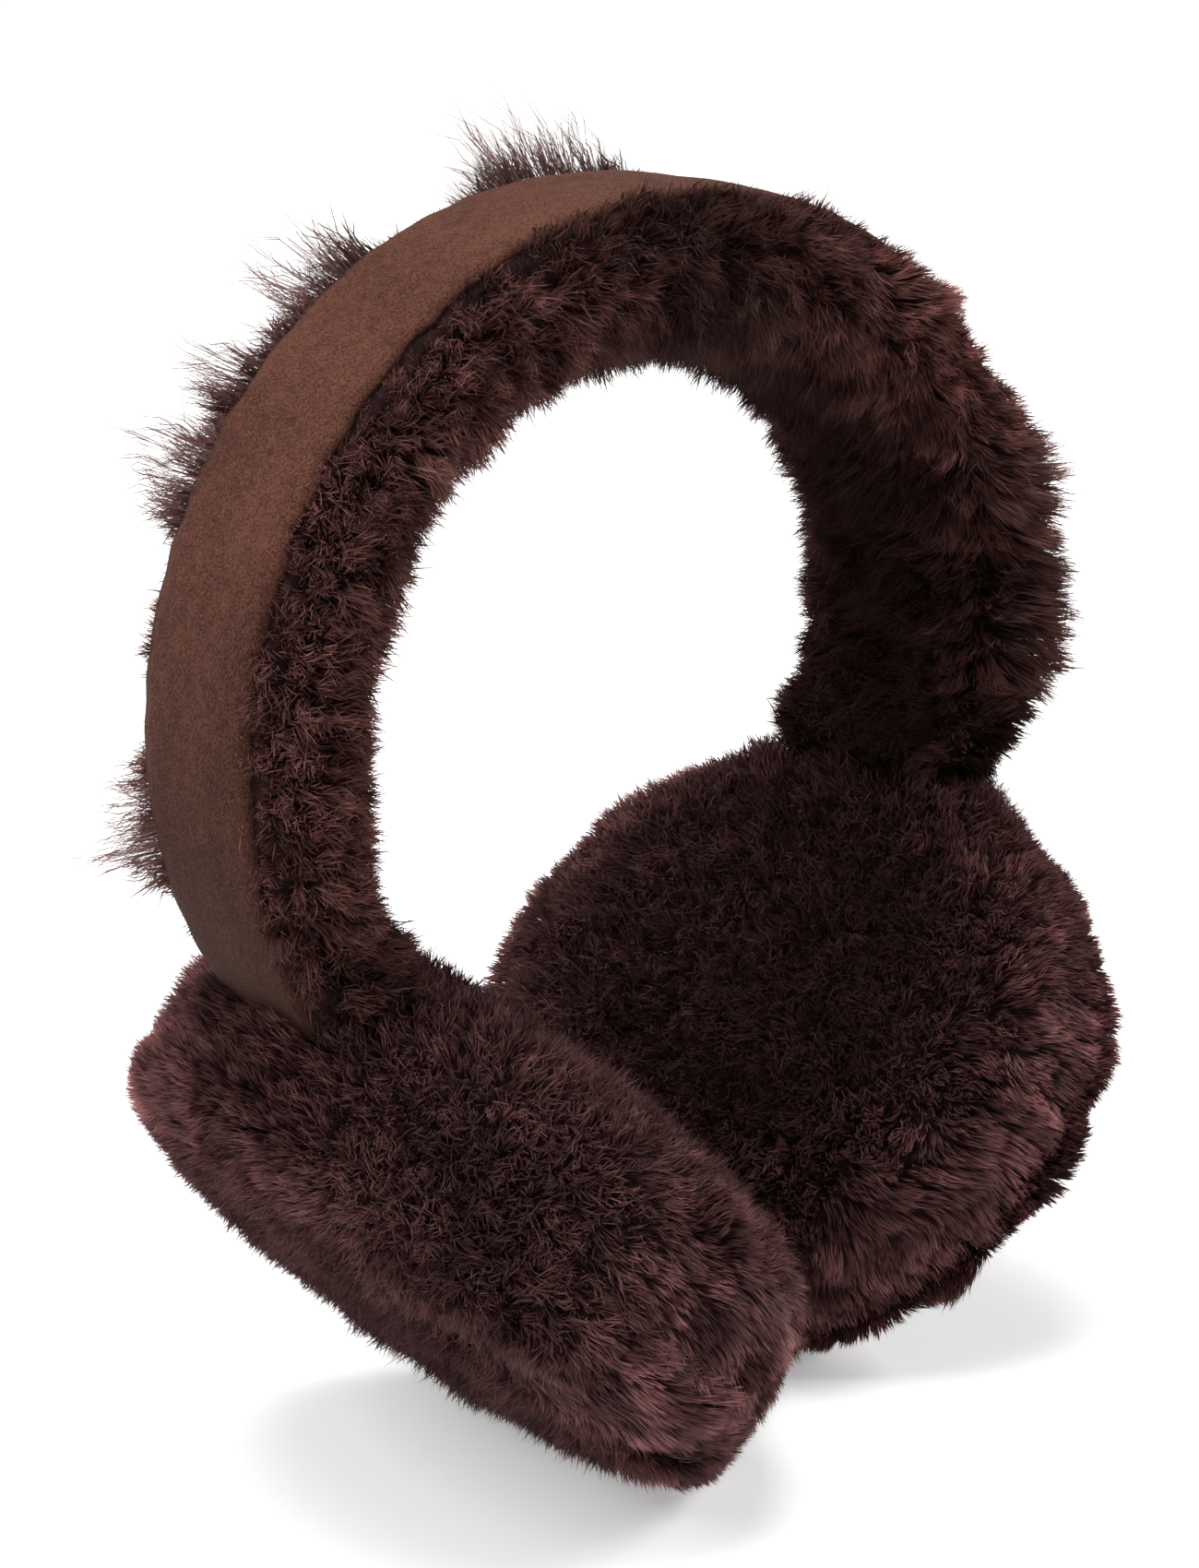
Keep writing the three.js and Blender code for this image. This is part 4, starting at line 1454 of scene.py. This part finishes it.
@dataclass
class PadDisc:
    """One fur disc of a pad: its padded undercoat and its strands.

    Attributes:
        hide: The disc's hide.
        inset: Depth of the undercoat under the outer form, in mm.
        rings: Steps of the undercoat from the seam to the middle of the face.
        segments: Steps round it.
        lumps: Height and size of its lumps, in mm.
        lump_zone: Heights over the seam between which they come in.
        seam_gap: How far the two discs' undercoats stay from the seam's plane.
        over_floor: Least height over the floor.
        grooming: How the strands grow.
        coat: Their finish.
        under: The undercoat's finish.
    """

    hide: PadHide
    inset: float = 4.4
    rings: int = 28
    segments: int = 112
    lumps: Zone = (0.7, 8.0)
    lump_zone: Zone = (1.0, 6.0)
    seam_gap: float = 0.2
    over_floor: float = 0.3
    grooming: Grooming = Grooming(
        strands=69000, root_depth=5.5, lie=4.6, wisp=1.1, lock=6.0, gather=(0.5, 0.1), relief=0.9, stray=0.4
    )
    coat: Coat = Coat("pad pile", (0.008, 0.0031, 0.0031), (0.067, 0.0255, 0.0255), (0.254, 0.111, 0.109))
    under: Undercoat = Undercoat("pad undercoat", (0.009, 0.0038, 0.0037), (0.034, 0.0135, 0.0130))

    @property
    def name(self) -> str:
        """Name of the disc's node."""
        return f"{self.hide.form.ear.name}_pad_{self.hide.face.name.lower()}"

    def undercoat(self) -> bpy.types.Object:
        """Spin the disc's profile round its axis and set it in its place, under the strands."""
        rises = np.radians(np.linspace(0.0, 90.0, self.rings))
        radius, height = self.hide.profile(rises, np.full(self.rings, -self.inset))
        radius[-1] = 0.0
        gap = self.seam_gap
        profile = [(0.0, gap), *zip(np.maximum(radius, 0.0), np.maximum(height, gap))]
        shape = bmesh.new()
        line = [shape.verts.new((across, 0.0, up)) for across, up in profile]
        edges = [shape.edges.new(pair) for pair in zip(line, line[1:])]
        bmesh.ops.spin(
            shape,
            geom=[*line, *edges],
            cent=(0.0, 0.0, 0.0),
            axis=(0.0, 0.0, 1.0),
            angle=2.0 * math.pi,
            steps=self.segments,
            use_merge=True,
        )
        bmesh.ops.remove_doubles(shape, verts=shape.verts[:], dist=1e-4)
        spun = np.array([vert.co[:] for vert in shape.verts])
        away = np.hypot(spun[:, 0], spun[:, 1])
        lump, size = self.lumps
        swell = lump * waves(spun, size, seed=61) * smoothstep(spun[:, 2], *self.lump_zone)
        angle = np.arctan2(spun[:, 1], spun[:, 0])
        points = self.hide.locate(away, spun[:, 2] + swell, angle)
        points[:, 2] = np.maximum(points[:, 2], self.over_floor)
        for vert, point in zip(shape.verts, points * MM):
            vert.co = Vector(point)
        bmesh.ops.recalc_face_normals(shape, faces=shape.faces[:])
        return linked(f"{self.name}_undercoat", shape, self.under.material())

    def build(self) -> list[bpy.types.Object]:
        """Make the undercoat and the strands."""
        seed = 200 + 10 * self.hide.form.ear.end + self.hide.face.value
        return [self.undercoat(), Fleece(f"{self.name}_pile", self.hide, self.grooming, self.coat, seed).mesh()]


@dataclass
class Studio:
    """A pale floor, soft light from a bright room and a few large lamps, and the camera."""

    azimuth: float = 44.17
    elevation: float = 14.22
    roll: float = -0.81
    distance: float = 948.2
    target: tuple[float, float, float] = (-2.43, 2.37, 101.4)
    lens: float = 135.94
    lamps: tuple[tuple[str, tuple[float, float, float], float, float], ...] = (
        ("top", (-0.1, 0.1, 1.5), 1.1, 25.0),
        ("left", (-0.95, 0.4, 1.0), 0.7, 13.0),
        ("right", (1.25, -0.45, 0.7), 0.7, 19.0),
    )

    def camera(self) -> None:
        """Set the camera up on the left, in front and a little above, with a long lens."""
        azimuth, elevation, roll = (math.radians(value) for value in (self.azimuth, self.elevation, self.roll))
        behind = Vector(
            (
                -math.sin(azimuth) * math.cos(elevation),
                -math.cos(azimuth) * math.cos(elevation),
                math.sin(elevation),
            )
        )
        level = Vector((math.cos(azimuth), -math.sin(azimuth), 0.0))
        upward = behind.cross(level)
        right = level * math.cos(roll) + upward * math.sin(roll)
        upward = behind.cross(right)
        turn = Matrix((right, upward, behind)).transposed().to_4x4()
        data = bpy.data.cameras.new("camera")
        data.lens = self.lens
        data.sensor_width = 36.0
        data.clip_start = 0.01
        camera = bpy.data.objects.new("camera", data)
        camera.matrix_world = Matrix.Translation((Vector(self.target) + behind * self.distance) * MM) @ turn
        bpy.context.scene.collection.objects.link(camera)
        bpy.context.scene.camera = camera

    def floor(self) -> None:
        """Lay a pale matte floor that glows softly further off, as in a light tent."""
        shape = bmesh.new()
        bmesh.ops.create_grid(shape, x_segments=2, y_segments=2, size=6.0)
        values = {
            "Base Color": (0.9, 0.9, 0.9, 1.0),
            "Roughness": 0.9,
            "Specular IOR Level": 0.1,
            "Emission Color": (1.0, 1.0, 1.0, 1.0),
        }
        material, shader = new_material("pale floor", values)
        tree = material.node_tree
        place = tree.nodes.new("ShaderNodeTexCoord")
        away = add_node(tree, "ShaderNodeVectorMath", {}, operation="LENGTH")
        distance = {"From Min": 0.4, "From Max": 1.4, "To Min": 0.35, "To Max": 0.8}
        glow = add_node(tree, "ShaderNodeMapRange", distance)
        tree.links.new(place.outputs["Object"], away.inputs[0])
        tree.links.new(away.outputs["Value"], glow.inputs["Value"])
        tree.links.new(glow.outputs["Result"], shader.inputs["Emission Strength"])
        floor = linked("floor", shape, material)

    def lamp(self, name: str, place: tuple[float, float, float], size: float, power: float) -> None:
        """Hang a large square lamp that looks at the middle of the earmuffs.

        Args:
            name: The lamp's name.
            place: Where it hangs, in metres.
            size: Its side in metres.
            power: Its power in watts.
        """
        data = bpy.data.lights.new(name, "AREA")
        data.shape = "SQUARE"
        data.size = size
        data.energy = power
        lamp = bpy.data.objects.new(name, data)
        lamp.location = place
        aim = Vector((0.0, 0.0, 0.1)) - Vector(place)
        lamp.rotation_euler = aim.to_track_quat("-Z", "Y").to_euler()
        bpy.context.scene.collection.objects.link(lamp)

    def room(self) -> None:
        """Fill the room with white light that comes mostly from low down, as from pale walls."""
        world = bpy.data.worlds.new("bright room")
        world.use_nodes = True
        tree = world.node_tree
        background = tree.nodes["Background"]
        background.inputs["Color"].default_value = (1.0, 1.0, 1.0, 1.0)
        place = tree.nodes.new("ShaderNodeTexCoord")
        split = tree.nodes.new("ShaderNodeSeparateXYZ")
        height = {"From Min": 0.05, "From Max": 0.3, "To Min": 0.92, "To Max": 0.03}
        walls = add_node(tree, "ShaderNodeMapRange", height)
        tree.links.new(place.outputs["Generated"], split.inputs[0])
        tree.links.new(split.outputs["Z"], walls.inputs["Value"])
        tree.links.new(walls.outputs["Result"], background.inputs["Strength"])
        bpy.context.scene.world = world
        bpy.context.scene.view_settings.view_transform = "Standard"

    def build(self) -> None:
        """Set up camera, floor and light."""
        self.camera()
        self.floor()
        self.room()
        for name, place, size, power in self.lamps:
            self.lamp(name, place, size, power)


EARS = (
    Ear("left", -1, lean=5.3, turn=-2.1, forward=2.4, plump=1.017, whorl=-132.0),
    Ear("right", 1, lean=2.4, turn=1.9, forward=1.5, plump=1.0, whorl=180.0),
)


class Earmuffs:
    """The pair: the band with its suede and pile, and both pads."""

    def __init__(self) -> None:
        """Lay out the hides and set them down where the plain solids stand."""
        self.band = BandForm()
        hide = BandHide(self.band, [])
        offset = self.offset(hide)
        hide.offset = offset
        self.discs = [
            PadHide(PadForm(ear), face, self.band, offset) for ear in EARS for face in (Face.OUTER, Face.INNER)
        ]
        hide.pads = self.discs
        for disc in self.discs:
            disc.band_hide = hide
        self.hide = hide

    def offset(self, hide: BandHide) -> np.ndarray:
        """Find the move that brings the suede onto the plain suede solid.

        Args:
            hide: The band's hide, still about its own crown.

        Returns:
            The move in mm.
        """
        form = self.band
        share = hide.shares
        half = form.suede_width / 2.0 * form.taper(share)
        edge = np.full(len(share), -form.suede_arch - 0.5)  # the solid's corner is rounded by half a mm
        edges = [hide.on_line(share, side * half, edge) for side in (-1.0, 1.0)]
        crest = hide.on_line(share, 0.0 * half, 0.0 * half)
        ends = np.concatenate([*edges, crest])
        low, high = (np.array(corner[:]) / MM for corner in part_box("suede_band"))
        return np.array([*((low + high) / 2.0 - (ends.min(0) + ends.max(0)) / 2.0)[:2], high[2] - ends[:, 2].max()])

    def build(self) -> None:
        """Build and dress each piece, and let it stand for its plain solid."""
        suede = SuedeStrip(self.hide).build()
        self.dress(suede, "suede_band")
        for piece in BandPile(self.hide).build():
            self.dress(piece, "band_fur")
        for hide in self.discs:
            disc = PadDisc(hide)
            undercoat, strands = disc.build()
            self.dress(undercoat, f"{disc.name}_fur")
            self.dress(strands, f"{disc.name}_fur")

    def dress(self, piece: bpy.types.Object, node: str) -> None:
        """Set a piece on the part in place of a plain solid.

        Args:
            piece: The finished piece.
            node: The plain solid that it stands for.
        """
        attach(piece, "root")
        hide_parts(node)
        LOG.info("%s: %d faces in place of %s", piece.name, len(piece.data.polygons), node)


def main() -> None:
    """Build the studio and the earmuffs."""
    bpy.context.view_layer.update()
    Studio().build()
    Earmuffs().build()


if __name__ == "__main__":
    logging.basicConfig(level=logging.INFO, format="%(name)s: %(message)s")
    main()
